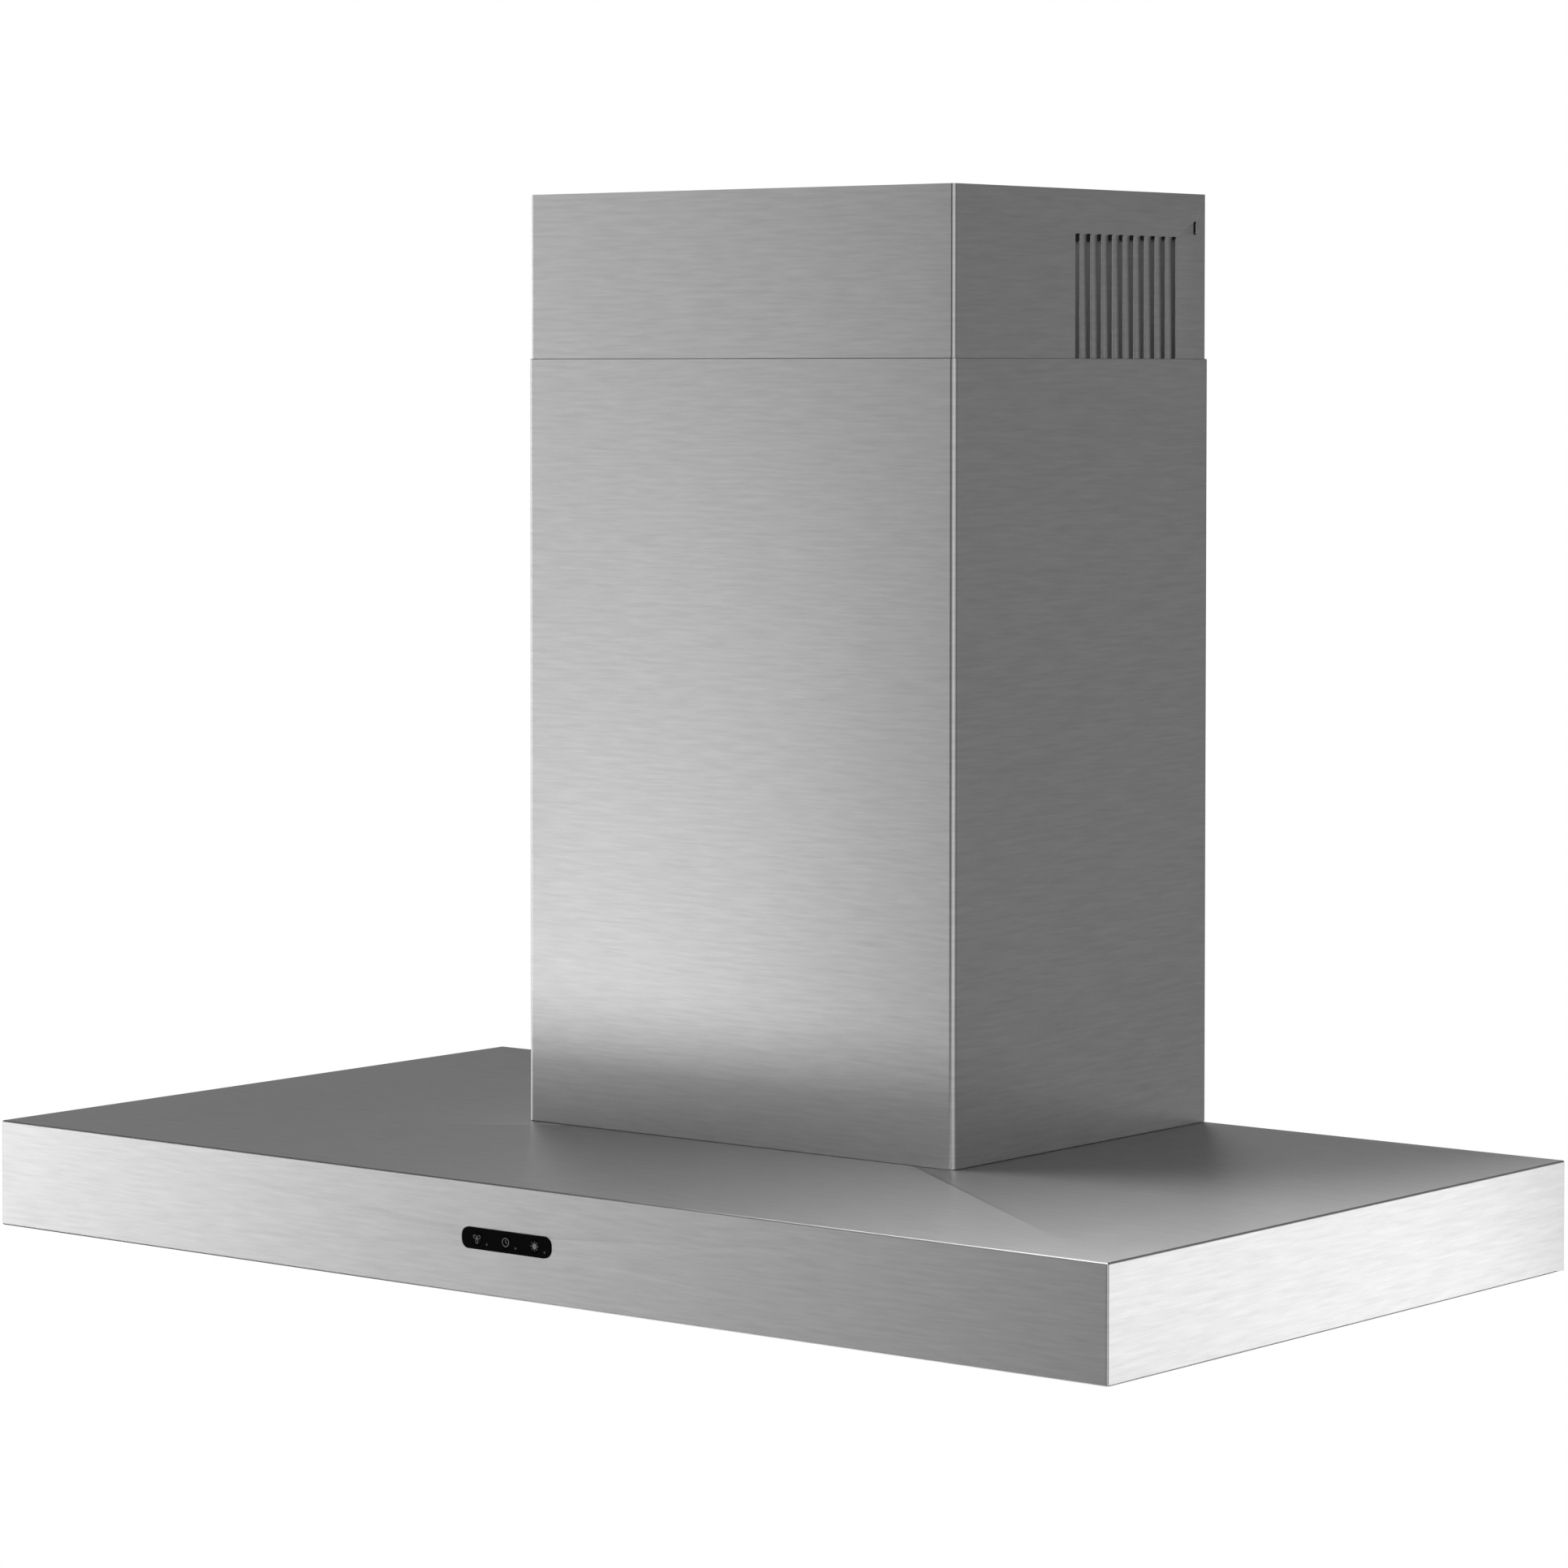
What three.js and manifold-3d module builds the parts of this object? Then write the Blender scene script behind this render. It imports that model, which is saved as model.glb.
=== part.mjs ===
// Wall-mounted chimney range hood: a flat box canopy with grease filters and lamps below it, push keys
// in its front, a blower inside a telescopic two-piece chimney cover, and the brackets it hangs on.
// Millimetres. x runs left to right, y from the room to the wall, z up. Inside this file z starts at
// the canopy's bottom rim; the last lines lower the whole hood so that the origin is on the wall
// plane, at the middle of the canopy's rear face.
import * as THREE from "three";
import { mergeVertices } from "three/addons/utils/BufferGeometryUtils.js";
import Module from "manifold-3d";

const wasm = await Module();
wasm.setup();

// ---------------------------------------------------------------- driving dimensions

const clear = 0.3; // gap between pieces that touch

const canopy = {
  width: 900,
  depth: 500,
  height: 70,
  sheet: 1,
  cornerRadius: 1.5,
  lip: 12, // inward fold along the bottom rim
  rearTopFlange: 10,
};

const tray = { recess: 15, sheet: 1 }; // the underside panel, up inside the rim

const filter = {
  sideStrip: 98, // panel left beside the outer filter edges
  frontStrip: 95,
  rearStrip: 85,
  middleBar: 8, // panel left between the two filters
  gap: 1,
  thickness: 9,
  rail: 14, // width of the frame's face
  groove: 3, // how far the mesh reaches into the frame
  meshThickness: 3,
  tabWidth: 22,
  tabReach: 8,
  tabThickness: 2,
  tabInset: 60, // from the frame's side to the tab's middle
};

const latch = {
  padWidth: 72,
  padDepth: 34,
  travel: 5,
  plateWidth: 40,
  plateDepth: 16,
  plateThickness: 2.4,
  neckWidth: 24,
  neckDepth: 9,
  gripWidth: 34,
  gripDepth: 13,
  gripDrop: 5,
  boltWidth: 18,
  boltShort: 0.5, // from the bolt's tip to the filter frame's front edge
  fromBottom: 1.8, // from the filter's lower face to the plate
  slack: 0.5,
};

const lamp = {
  fromSide: 160,
  lensRadius: 24.7,
  bezelRadius: 33,
  bezelDrop: 2,
  collarWall: 2.7,
  holeSlack: 0.3,
  housingRadius: 27,
  housingNeck: 22, // radius of its upper half
  housingHeight: 22,
};

const keys = {
  fasciaLength: 72.4,
  fasciaHeight: 13.4,
  fasciaCorner: 5.4,
  fasciaFlange: 0.6, // thickness of the face in front of the steel
  fasciaRim: 1.2, // how far the face overlaps the hole in the steel
  neckDepth: 4.3,
  pitch: 23.6,
  capRadius: 4.2,
  capSlack: 0.2,
  capShoulder: 0.9,
  stemRadius: 2,
  travel: 0.8,
  carrierLength: 96,
  carrierHeight: 24,
  carrierDepth: 16.4,
  carrierWall: 1.5,
  boardThickness: 1.6,
  switchSize: 6,
  switchDepth: 3.5,
};

const cover = {
  width: 353,
  depth: 279,
  lowerHeight: 507,
  upperHeight: 500,
  upperShown: 108.5, // how far the upper cover stands out of the lower one
  bendRadius: 3.5,
  sheet: 0.8,
  rearFlange: 12,
};

const vents = {
  count: 10,
  width: 5.6,
  pitch: 12.05,
  length: 112,
  fromTop: 28.5,
  fromWall: 37.7, // to the middle of the rearmost slot
};

const fixing = { width: 4, length: 9, fromTop: 22.5, fromWall: 13.5 };

const topBracket = { height: 24, sheet: 1.5, ear: 30, fromTop: 5 };

const clip = { width: 30, foot: 19, height: 22, sheet: 1.5, fromWall: 105 };

const enclosure = {
  sideBay: 48.7, // free space between its sides and the upper cover
  frontBay: 12,
  rearBay: 18,
  sheet: 1,
  flange: 10,
  screwFromEnd: 40,
};

const screw = { headRadius: 4.5, headHeight: 2.5, shankRadius: 2.2, shankLength: 8, holeSlack: 0.4 };

const hanger = {
  width: 180,
  height: 56,
  sheet: 2,
  fromCanopy: 150,
  hookSpacing: 120,
  hookWidth: 24,
  hookRise: 14,
  wallHoleRadius: 4,
};

const scroll = {
  innerWidth: 100,
  wall: 2,
  frontClear: 23, // to the enclosure's front
  rearClear: 4,
  bottomClear: 11, // above the canopy's top
  neck: 77, // straight outlet above the spiral
  growth: 0.28, // how much the spiral widens over its turn
  inletRadiusShare: 0.83, // of the impeller's radius
};

const impeller = {
  tongueGap: 8,
  width: 92,
  bladeCount: 24,
  bladeDepth: 14,
  bladeThickness: 1.4,
  bladeTilt: 40, // degrees from the radius
  ringWidth: 12,
  ringThickness: 2,
  hubRadius: 10,
  hubLength: 14,
};

const motor = { radius: 36, length: 50, fromHub: 8, edge: 4, bearingRadius: 9, bearingLength: 7 };
const shaft = { radius: 4, reach: 8 };
const spider = { armCount: 3, armWidth: 9, thickness: 2, rim: 8, hubWall: 4, hubLength: 6 };
const capacitor = { radius: 14, length: 52, fromEnclosureTop: 60 };

const duct = {
  diameter: 150, // of the pipe that fits over the collar
  pipeSlack: 0.5,
  wall: 2,
  height: 50,
  flange: 6,
  flangeThickness: 2,
  fromEnclosureFront: 1,
  stopHeight: 14,
  stopWidth: 6,
  stopThickness: 2,
};

const damper = {
  pinRadius: 2,
  knuckleSlack: 0.3,
  knuckleWall: 1.2,
  knuckleCount: 4,
  knuckleInset: 8, // from the flap's edge to its outer knuckle
  plate: 1.5,
  rimGap: 2.5, // from the flap's edge to the collar
};

const junction = { depth: 90, height: 70, width: 40, sheet: 1, fromFlange: 19, fromWall: 70 };
const terminal = { width: 18, depth: 52, height: 20, poles: 3 };
const gland = { radius: 9, boreRadius: 5, nutRadius: 12, nutHeight: 5, height: 18 };
const moduleBox = { width: 38, depth: 104, height: 84, fromFlange: 19, fromWall: 64, ribCount: 6 };

// ---------------------------------------------------------------- places worked out from them

const canopyHalf = canopy.width / 2;
const canopyInnerHalf = canopyHalf - canopy.sheet;
const canopyInnerFront = -canopy.depth + canopy.sheet;
const canopyInnerTop = canopy.height - canopy.sheet;
const onCanopy = canopy.height + clear; // where pieces stand on the canopy's top

const openingHalfGap = filter.middleBar / 2;
const openingOuter = canopyHalf - filter.sideStrip;
const openingFront = -canopy.depth + filter.frontStrip;
const openingRear = -filter.rearStrip;
const filterWidth = openingOuter - openingHalfGap - 2 * filter.gap;
const filterDepth = openingRear - openingFront - 2 * filter.gap;
const filterMiddle = (openingOuter + openingHalfGap) / 2;
const filterHinge = openingRear - filter.gap;

const lampMiddle = (openingFront - canopy.depth + canopy.lip + tray.sheet) / 2;

const coverHalf = cover.width / 2;
const lowerTop = onCanopy + cover.lowerHeight - clear;
const upperInset = cover.sheet + clear;
const upperHalf = coverHalf - upperInset;
const upperTop = lowerTop + cover.upperShown;
const upperBottom = upperTop - cover.upperHeight;
const upperInnerHalf = upperHalf - cover.sheet;
const upperFront = -cover.depth + upperInset;
const upperInnerFront = upperFront + cover.sheet;
const upperRear = -upperInset;

const enclosureHalf = upperInnerHalf - enclosure.sideBay;
const enclosureFront = upperInnerFront + enclosure.frontBay;
const enclosureRear = upperRear - enclosure.rearBay;
const enclosureInnerHalf = enclosureHalf - enclosure.sheet;
const enclosureScrewX = enclosureHalf + enclosure.flange / 2;

const scrollFront = enclosureFront + enclosure.sheet + scroll.frontClear;
const scrollRear = enclosureRear - enclosure.sheet - scroll.rearClear;
const scrollRoom = scrollRear - scrollFront - 2 * scroll.wall;
// The spiral's radius grows evenly with angle: half way round it has grown by a third of scroll.growth,
// and at the outlet by all of it.
const spiralStart = scrollRoom / (2 + scroll.growth * (1 + 1 / 3));
const spiralEnd = spiralStart * (1 + scroll.growth);
const impellerRadius = spiralStart - impeller.tongueGap;
const inletRadius = impellerRadius * scroll.inletRadiusShare;
const spiralRear = spiralStart * (1 + scroll.growth / 3);
const spiralBottom = spiralStart * (1 + (scroll.growth * 2) / 3);
const axisY = scrollRear - scroll.wall - spiralRear;
const axisZ = canopy.height + scroll.bottomClear + scroll.wall + spiralBottom;
const scrollOuterHalf = scroll.innerWidth / 2 + scroll.wall;
const tongueOffset = 4; // from the axis to the outlet's rear wall
const outletFront = axisY - spiralEnd;
const outletRear = axisY - tongueOffset;
const outletTop = axisZ + spiralStart + scroll.neck;
const enclosureTop = outletTop + clear + enclosure.sheet;

const collarRadius = duct.diameter / 2 - duct.pipeSlack;
const collarInner = collarRadius - duct.wall;
const collarHalf = collarRadius + duct.flange;
const collarY = enclosureFront + duct.fromEnclosureFront + collarHalf;
const collarBase = enclosureTop + clear;
const stopTop = collarBase + duct.stopHeight;
const knuckleBore = damper.pinRadius + damper.knuckleSlack;
const knuckleRadius = knuckleBore + damper.knuckleWall;
const pinZ = stopTop + clear + damper.pinRadius;
const flapRadius = collarInner - damper.rimGap;

const hangerBase = canopy.height + hanger.fromCanopy;
const hookZ = hangerBase + hanger.height / 2;
const hookReach = enclosureRear - enclosure.sheet - clear;

const keyMiddle = canopy.height / 2;
const fasciaFront = -canopy.depth - clear - keys.fasciaFlange;
const fasciaNeckRear = -canopy.depth - clear + keys.neckDepth;
const carrierFront = canopyInnerFront + clear;
const carrierRear = carrierFront + keys.carrierDepth;
const boardFront = carrierRear - clear - keys.boardThickness;

// ---------------------------------------------------------------- solids

/** A geometry as a manifold-3d solid, with its shared vertices merged. */
function solidOf(geometry) {
  const bare = geometry.index ? geometry.toNonIndexed() : geometry.clone();
  bare.deleteAttribute("normal");
  bare.deleteAttribute("uv");
  const merged = mergeVertices(bare, 1e-4);
  const mesh = new wasm.Mesh({
    numProp: 3,
    vertProperties: merged.attributes.position.array,
    triVerts: new Uint32Array(merged.index.array),
  });
  return new wasm.Manifold(mesh);
}

/** A manifold-3d solid as a geometry with flat shading. */
function geometryOf(solid) {
  const mesh = solid.getMesh();
  const positions = new Float32Array(mesh.numVert * 3);
  for (let i = 0; i < mesh.numVert; i++) {
    const from = i * mesh.numProp;
    positions.set(mesh.vertProperties.subarray(from, from + 3), i * 3);
  }
  const indexed = new THREE.BufferGeometry();
  indexed.setAttribute("position", new THREE.BufferAttribute(positions, 3));
  indexed.setIndex(new THREE.BufferAttribute(new Uint32Array(mesh.triVerts), 1));
  const flat = indexed.toNonIndexed();
  flat.computeVertexNormals();
  return flat;
}

function cut(base, ...tools) {
  return geometryOf(tools.reduce((solid, tool) => solid.subtract(solidOf(tool)), solidOf(base)));
}

function join(...parts) {
  return geometryOf(parts.slice(1).reduce((solid, part) => solid.add(solidOf(part)), solidOf(parts[0])));
}

/** A box between two corners. */
function block(x0, x1, y0, y1, z0, z1) {
  const box = new THREE.BoxGeometry(x1 - x0, y1 - y0, z1 - z0);
  return box.translate((x0 + x1) / 2, (y0 + y1) / 2, (z0 + z1) / 2);
}

/** A box that reaches the same distance to both sides of the middle plane. */
function centred(halfWidth, y0, y1, z0, z1) {
  return block(-halfWidth, halfWidth, y0, y1, z0, z1);
}

const extruded = (shape, length) =>
  new THREE.ExtrudeGeometry(shape, { depth: length, bevelEnabled: false, curveSegments: 3 });

/** An outline drawn in x and y, standing from z0 to z1. */
function upright(shape, z0, z1) {
  return extruded(shape, z1 - z0).translate(0, 0, z0);
}

/** An outline drawn in y and z, running from x0 to x1. */
function sideways(shape, x0, x1) {
  const turn = new THREE.Matrix4().makeBasis(
    new THREE.Vector3(0, 1, 0),
    new THREE.Vector3(0, 0, 1),
    new THREE.Vector3(1, 0, 0),
  );
  return extruded(shape, x1 - x0).applyMatrix4(turn).translate(x0, 0, 0);
}

/** An outline drawn in x and z, running from y0 to y1. */
function frontal(shape, y0, y1) {
  return extruded(shape, y1 - y0).rotateX(Math.PI / 2).translate(0, y1, 0);
}

/** A profile of [radius, height] points turned about z. A ring's profile runs counter-clockwise. */
function turned(profile, segments = 32) {
  const closed = profile[0][0] > 0 || profile.at(-1)[0] > 0;
  const points = closed ? [...profile, profile[0]] : profile;
  const path = points.map(([radius, height]) => new THREE.Vector2(radius, height));
  return new THREE.LatheGeometry(path, segments).rotateX(Math.PI / 2);
}

/** A round bar between two heights. */
function rod(radius, z0, z1, segments = 24) {
  return new THREE.CylinderGeometry(radius, radius, z1 - z0, segments)
    .rotateX(Math.PI / 2)
    .translate(0, 0, (z0 + z1) / 2);
}

/** Turns a piece made about z so that it lies along x. */
const alongX = (geometry) => geometry.rotateY(Math.PI / 2);

function outline(points) {
  return new THREE.Shape(points.map(([a, b]) => new THREE.Vector2(a, b)));
}

/** A rectangle with round corners, drawn about (0, middle). */
function roundedRectangle(width, height, radius, middle = 0) {
  const w = width / 2;
  const h = height / 2;
  const shape = new THREE.Shape();
  shape.moveTo(-w + radius, middle - h);
  shape.lineTo(w - radius, middle - h);
  shape.absarc(w - radius, middle - h + radius, radius, -Math.PI / 2, 0);
  shape.lineTo(w, middle + h - radius);
  shape.absarc(w - radius, middle + h - radius, radius, 0, Math.PI / 2);
  shape.lineTo(-w + radius, middle + h);
  shape.absarc(-w + radius, middle + h - radius, radius, Math.PI / 2, Math.PI);
  shape.lineTo(-w, middle - h + radius);
  shape.absarc(-w + radius, middle - h + radius, radius, Math.PI, 1.5 * Math.PI);
  return shape;
}

// ---------------------------------------------------------------- canopy

/** The brushed steel box: top, front and two sides, with a fold inwards along the rim. */
function canopyShell() {
  const plan = new THREE.Shape();
  const front = -canopy.depth;
  const r = canopy.cornerRadius;
  plan.moveTo(canopyHalf, 0);
  plan.lineTo(-canopyHalf, 0);
  plan.lineTo(-canopyHalf, front + r);
  plan.absarc(-canopyHalf + r, front + r, r, Math.PI, 1.5 * Math.PI);
  plan.lineTo(canopyHalf - r, front);
  plan.absarc(canopyHalf - r, front + r, r, -Math.PI / 2, 0);
  const skin = upright(plan, 0, canopy.height);
  const hollow = centred(canopyInnerHalf, canopyInnerFront, 1, canopy.sheet, canopyInnerTop);
  const mouth = centred(canopyHalf - canopy.lip, front + canopy.lip, 1, -1, canopy.sheet + 1);
  const rearRim = centred(canopyInnerHalf, -canopy.lip - clear, 1, -1, canopy.sheet + 1);
  const blowerMouth = centred(
    enclosureInnerHalf,
    enclosureFront + enclosure.sheet,
    enclosureRear - enclosure.sheet,
    canopyInnerTop - 1,
    canopy.height + 1,
  );
  const holes = enclosureScrewPlaces().map(([x, y]) =>
    rod(screw.shankRadius + screw.holeSlack, canopyInnerTop - 1, canopy.height + 1).translate(x, y, 0),
  );
  const keyOpening = frontal(fasciaHole(0), front - 1, front + 2);
  return cut(skin, hollow, mouth, rearRim, blowerMouth, keyOpening, ...holes);
}

/** The plate that closes the canopy at the wall, folded forwards at top and bottom. */
function canopyBackPanel() {
  const t = canopy.sheet;
  const top = canopyInnerTop - clear;
  const profile = outline([
    [0, 0],
    [0, top],
    [-canopy.rearTopFlange, top],
    [-canopy.rearTopFlange, top - t],
    [-t, top - t],
    [-t, t],
    [-canopy.lip, t],
    [-canopy.lip, 0],
  ]);
  return sideways(profile, -canopyInnerHalf + clear, canopyInnerHalf - clear);
}

/** The stainless panel seen from below: a shallow tray turned over, with filter and lamp openings. */
function undersidePanel() {
  const t = tray.sheet;
  const flangeBottom = canopy.sheet + clear;
  const top = tray.recess + t;
  const wallHalf = canopyHalf - canopy.lip;
  const wallFront = -canopy.depth + canopy.lip;
  const wallRear = -canopy.lip;
  const flange = centred(
    canopyInnerHalf - clear,
    canopyInnerFront + clear,
    -canopy.sheet - clear,
    flangeBottom,
    flangeBottom + t,
  );
  const raised = centred(wallHalf, wallFront, wallRear, flangeBottom, top);
  const recess = centred(wallHalf - t, wallFront + t, wallRear - t, -1, tray.recess);
  const tools = [-1, 1].flatMap((side) => [
    block(openingHalfGap, openingOuter, openingFront, openingRear, 0, top + 1).translate(
      side < 0 ? -openingOuter - openingHalfGap : 0,
      0,
      0,
    ),
    rod(lampHoleRadius(), 0, top + 1, 40).translate(side * (canopyHalf - lamp.fromSide), lampMiddle, 0),
  ]);
  return cut(join(flange, raised), recess, ...tools);
}

// ---------------------------------------------------------------- grease filters
// A filter is drawn about its hinge line: x from the middle, y back from 0 to -filterDepth, z up from
// its lower face.

const padFront = -filterDepth + filter.rail;
const latchPlateZ = latch.fromBottom;

function filterFrame() {
  const half = filterWidth / 2;
  const bar = filter.rail;
  const rim = centred(half, -filterDepth, 0, 0, filter.thickness);
  const window = centred(half - bar, -filterDepth + bar, -bar, -1, filter.thickness + 1);
  const pad = centred(latch.padWidth / 2, padFront - 1, padFront + latch.padDepth, 0, filter.thickness);
  const grooveZ = (filter.thickness - filter.meshThickness) / 2 - clear;
  const groove = centred(
    half - bar + filter.groove + clear,
    -filterDepth + bar - filter.groove - clear,
    -bar + filter.groove + clear,
    grooveZ,
    filter.thickness - grooveZ,
  );
  const tab = block(
    -filter.tabWidth / 2,
    filter.tabWidth / 2,
    -1,
    filter.tabReach,
    tray.sheet + 0.5,
    tray.sheet + 0.5 + filter.tabThickness,
  );
  const tabs = [-1, 1].map((side) => tab.clone().translate(side * (half - filter.tabInset), 0, 0));
  const ring = cut(rim, window, groove);
  return cut(join(ring, pad, ...tabs), ...latchPocket());
}

/** The slot that the latch slides in: room for its plate, its neck and its bolt. */
function latchPocket() {
  const s = latch.slack;
  const y0 = padFront + 4;
  const plate = centred(
    latch.plateWidth / 2 + s,
    y0 - s,
    y0 + latch.plateDepth + latch.travel + s,
    latchPlateZ - s,
    latchPlateZ + latch.plateThickness + s,
  );
  const neckY = y0 + (latch.plateDepth - latch.neckDepth) / 2;
  const neck = centred(
    latch.neckWidth / 2 + s,
    neckY - s,
    neckY + latch.neckDepth + latch.travel + s,
    -1,
    latchPlateZ,
  );
  const bolt = centred(
    latch.boltWidth / 2 + s,
    -filterDepth - 1,
    y0,
    latchPlateZ - s,
    latchPlateZ + latch.plateThickness + s,
  );
  return [plate, neck, bolt];
}

/** The sliding catch of a filter: bolt to the front, plate inside the pad, grip below. */
function filterLatch() {
  const y0 = padFront + 4;
  const neckY = y0 + (latch.plateDepth - latch.neckDepth) / 2;
  const gripY = y0 + (latch.plateDepth - latch.gripDepth) / 2;
  const plateTop = latchPlateZ + latch.plateThickness;
  const boltTip = -filterDepth + latch.boltShort;
  return join(
    centred(latch.plateWidth / 2, y0, y0 + latch.plateDepth, latchPlateZ, plateTop),
    centred(latch.boltWidth / 2, boltTip, y0 + 1, latchPlateZ, plateTop),
    centred(latch.neckWidth / 2, neckY, neckY + latch.neckDepth, -clear - 1, latchPlateZ + 1),
    centred(latch.gripWidth / 2, gripY, gripY + latch.gripDepth, -clear - latch.gripDrop, -clear),
  );
}

/** The layered mesh, a slab in the model, cut away round the latch's pad. */
function filterMesh() {
  const half = filterWidth / 2 - filter.rail + filter.groove;
  const z0 = (filter.thickness - filter.meshThickness) / 2;
  const slab = centred(
    half,
    -filterDepth + filter.rail - filter.groove,
    -filter.rail + filter.groove,
    z0,
    z0 + filter.meshThickness,
  );
  const notch = centred(
    latch.padWidth / 2 + clear,
    -filterDepth,
    padFront + latch.padDepth + clear,
    -1,
    filter.thickness + 1,
  );
  return cut(slab, notch);
}

// ---------------------------------------------------------------- lamps
// A lamp is drawn about its middle, with z = 0 at the underside panel's lower face.

function lampHoleRadius() {
  return lamp.lensRadius + clear + lamp.collarWall + lamp.holeSlack;
}

function lampBezel() {
  const inner = lamp.lensRadius + clear;
  const collar = inner + lamp.collarWall;
  const face = -clear - lamp.bezelDrop;
  return turned([
    [inner, face + 0.6],
    [inner + 0.6, face],
    [lamp.bezelRadius - 1, face],
    [lamp.bezelRadius, face + 1],
    [lamp.bezelRadius, -clear],
    [collar, -clear],
    [collar, tray.sheet + 0.8],
    [inner, tray.sheet + 0.8],
  ]);
}

function lampLens() {
  const r = lamp.lensRadius;
  return turned([
    [0, -2.1],
    [r * 0.6, -1.8],
    [r * 0.9, -1.3],
    [r, -0.8],
    [r, 1.2],
    [0, 1.2],
  ]);
}

/** The lamp's can, narrower in its upper half. */
function lampHousing() {
  const bottom = tray.sheet + 0.8 + clear;
  const top = bottom + lamp.housingHeight;
  const middle = (bottom + top) / 2;
  return turned([
    [0, bottom],
    [lamp.housingRadius, bottom],
    [lamp.housingRadius, middle],
    [lamp.housingNeck, middle],
    [lamp.housingNeck, top],
    [0, top],
  ]);
}

// ---------------------------------------------------------------- controls

/** The opening in the steel front that the fascia's neck passes through. */
function fasciaHole(shrink) {
  return roundedRectangle(
    keys.fasciaLength - 2 * keys.fasciaRim - 2 * shrink,
    keys.fasciaHeight - 2 * keys.fasciaRim - 2 * shrink,
    keys.fasciaCorner - keys.fasciaRim - shrink,
    keyMiddle,
  );
}

const keyPlaces = [-1, 0, 1].map((i) => i * keys.pitch);

/** A round bar along y, at a key's place. */
function keyBar(x, radius, y0, y1) {
  return rod(radius, y0, y1, 20).rotateX(-Math.PI / 2).translate(x, 0, keyMiddle);
}

function controlFascia() {
  const face = roundedRectangle(keys.fasciaLength, keys.fasciaHeight, keys.fasciaCorner, keyMiddle);
  const plate = frontal(face, fasciaFront, fasciaFront + keys.fasciaFlange);
  const neck = frontal(fasciaHole(clear), fasciaFront + keys.fasciaFlange / 2, fasciaNeckRear);
  const holes = keyPlaces.map((x) =>
    keyBar(x, keys.capRadius + keys.capSlack, fasciaFront - 1, fasciaNeckRear + 1),
  );
  return cut(join(plate, neck), ...holes);
}

/** One push key: a round cap flush with the fascia, a shoulder that keeps it in, and a stem. */
function pushKey(x) {
  const shoulder = fasciaNeckRear + clear;
  const stemEnd = boardFront - clear - keys.switchDepth - keys.travel - clear;
  return join(
    keyBar(x, keys.capRadius, fasciaFront, shoulder + keys.capShoulder),
    keyBar(x, keys.capRadius + keys.capShoulder, shoulder, shoulder + keys.capShoulder),
    keyBar(x, keys.stemRadius, shoulder, stemEnd),
  );
}

function controlCarrier() {
  const wall = keys.carrierWall;
  const half = keys.carrierLength / 2;
  const low = keyMiddle - keys.carrierHeight / 2;
  const high = keyMiddle + keys.carrierHeight / 2;
  return cut(
    centred(half, carrierFront, carrierRear, low, high),
    centred(half - wall, carrierFront + wall, carrierRear + 1, low + wall, high - wall),
    frontal(fasciaHole(0), carrierFront - 1, carrierFront + wall + 1),
  );
}

function controlBoard() {
  const inset = keys.carrierWall + clear;
  const half = keys.carrierLength / 2 - inset;
  const rise = keys.carrierHeight / 2 - inset;
  return centred(half, boardFront, boardFront + keys.boardThickness, keyMiddle - rise, keyMiddle + rise);
}

function keySwitch(x) {
  const half = keys.switchSize / 2;
  const front = boardFront - clear - keys.switchDepth;
  return join(
    block(x - half, x + half, front + 1, boardFront - clear, keyMiddle - half, keyMiddle + half),
    keyBar(x, half * 0.55, front, front + 1.5),
  );
}

// ---------------------------------------------------------------- chimney covers

/** A folded cover in plan: front, two sides with bent corners, and narrow flanges at the rear. */
function coverPlan(half, front, rear, radius) {
  const t = cover.sheet;
  const flange = half - cover.rearFlange;
  const plan = new THREE.Shape();
  plan.moveTo(flange, rear);
  plan.lineTo(flange, rear - t);
  plan.lineTo(half - t, rear - t);
  plan.lineTo(half - t, front + radius);
  plan.absarc(half - radius, front + radius, radius - t, 0, -Math.PI / 2, true);
  plan.lineTo(-half + radius, front + t);
  plan.absarc(-half + radius, front + radius, radius - t, -Math.PI / 2, -Math.PI, true);
  plan.lineTo(-half + t, rear - t);
  plan.lineTo(-flange, rear - t);
  plan.lineTo(-flange, rear);
  plan.lineTo(-half, rear);
  plan.lineTo(-half, front + radius);
  plan.absarc(-half + radius, front + radius, radius, Math.PI, 1.5 * Math.PI);
  plan.lineTo(half - radius, front);
  plan.absarc(half - radius, front + radius, radius, -Math.PI / 2, 0);
  plan.lineTo(half, rear);
  return plan;
}

function lowerChimneyCover() {
  return upright(coverPlan(coverHalf, -cover.depth, 0, cover.bendRadius), onCanopy, lowerTop);
}

/** The upper cover, with vent slots and a fixing slot through each side. */
function upperChimneyCover() {
  const plan = coverPlan(upperHalf, upperFront, upperRear, cover.bendRadius - cover.sheet);
  const body = upright(plan, upperBottom, upperTop);
  const tools = [];
  for (let i = 0; i < vents.count; i++) {
    const y = -vents.fromWall - i * vents.pitch;
    const top = upperTop - vents.fromTop;
    tools.push(centred(coverHalf, y - vents.width / 2, y + vents.width / 2, top - vents.length, top));
  }
  return cut(body, fixingSlot(), ...tools);
}

/** The slot for the fixing screws, right through the upper cover and its bracket. */
function fixingSlot() {
  const almostHalf = fixing.width / 2 - 0.01;
  const slot = roundedRectangle(fixing.width, fixing.length, almostHalf, upperTop - fixing.fromTop);
  return sideways(slot, -coverHalf, coverHalf).translate(0, -fixing.fromWall, 0);
}

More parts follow.
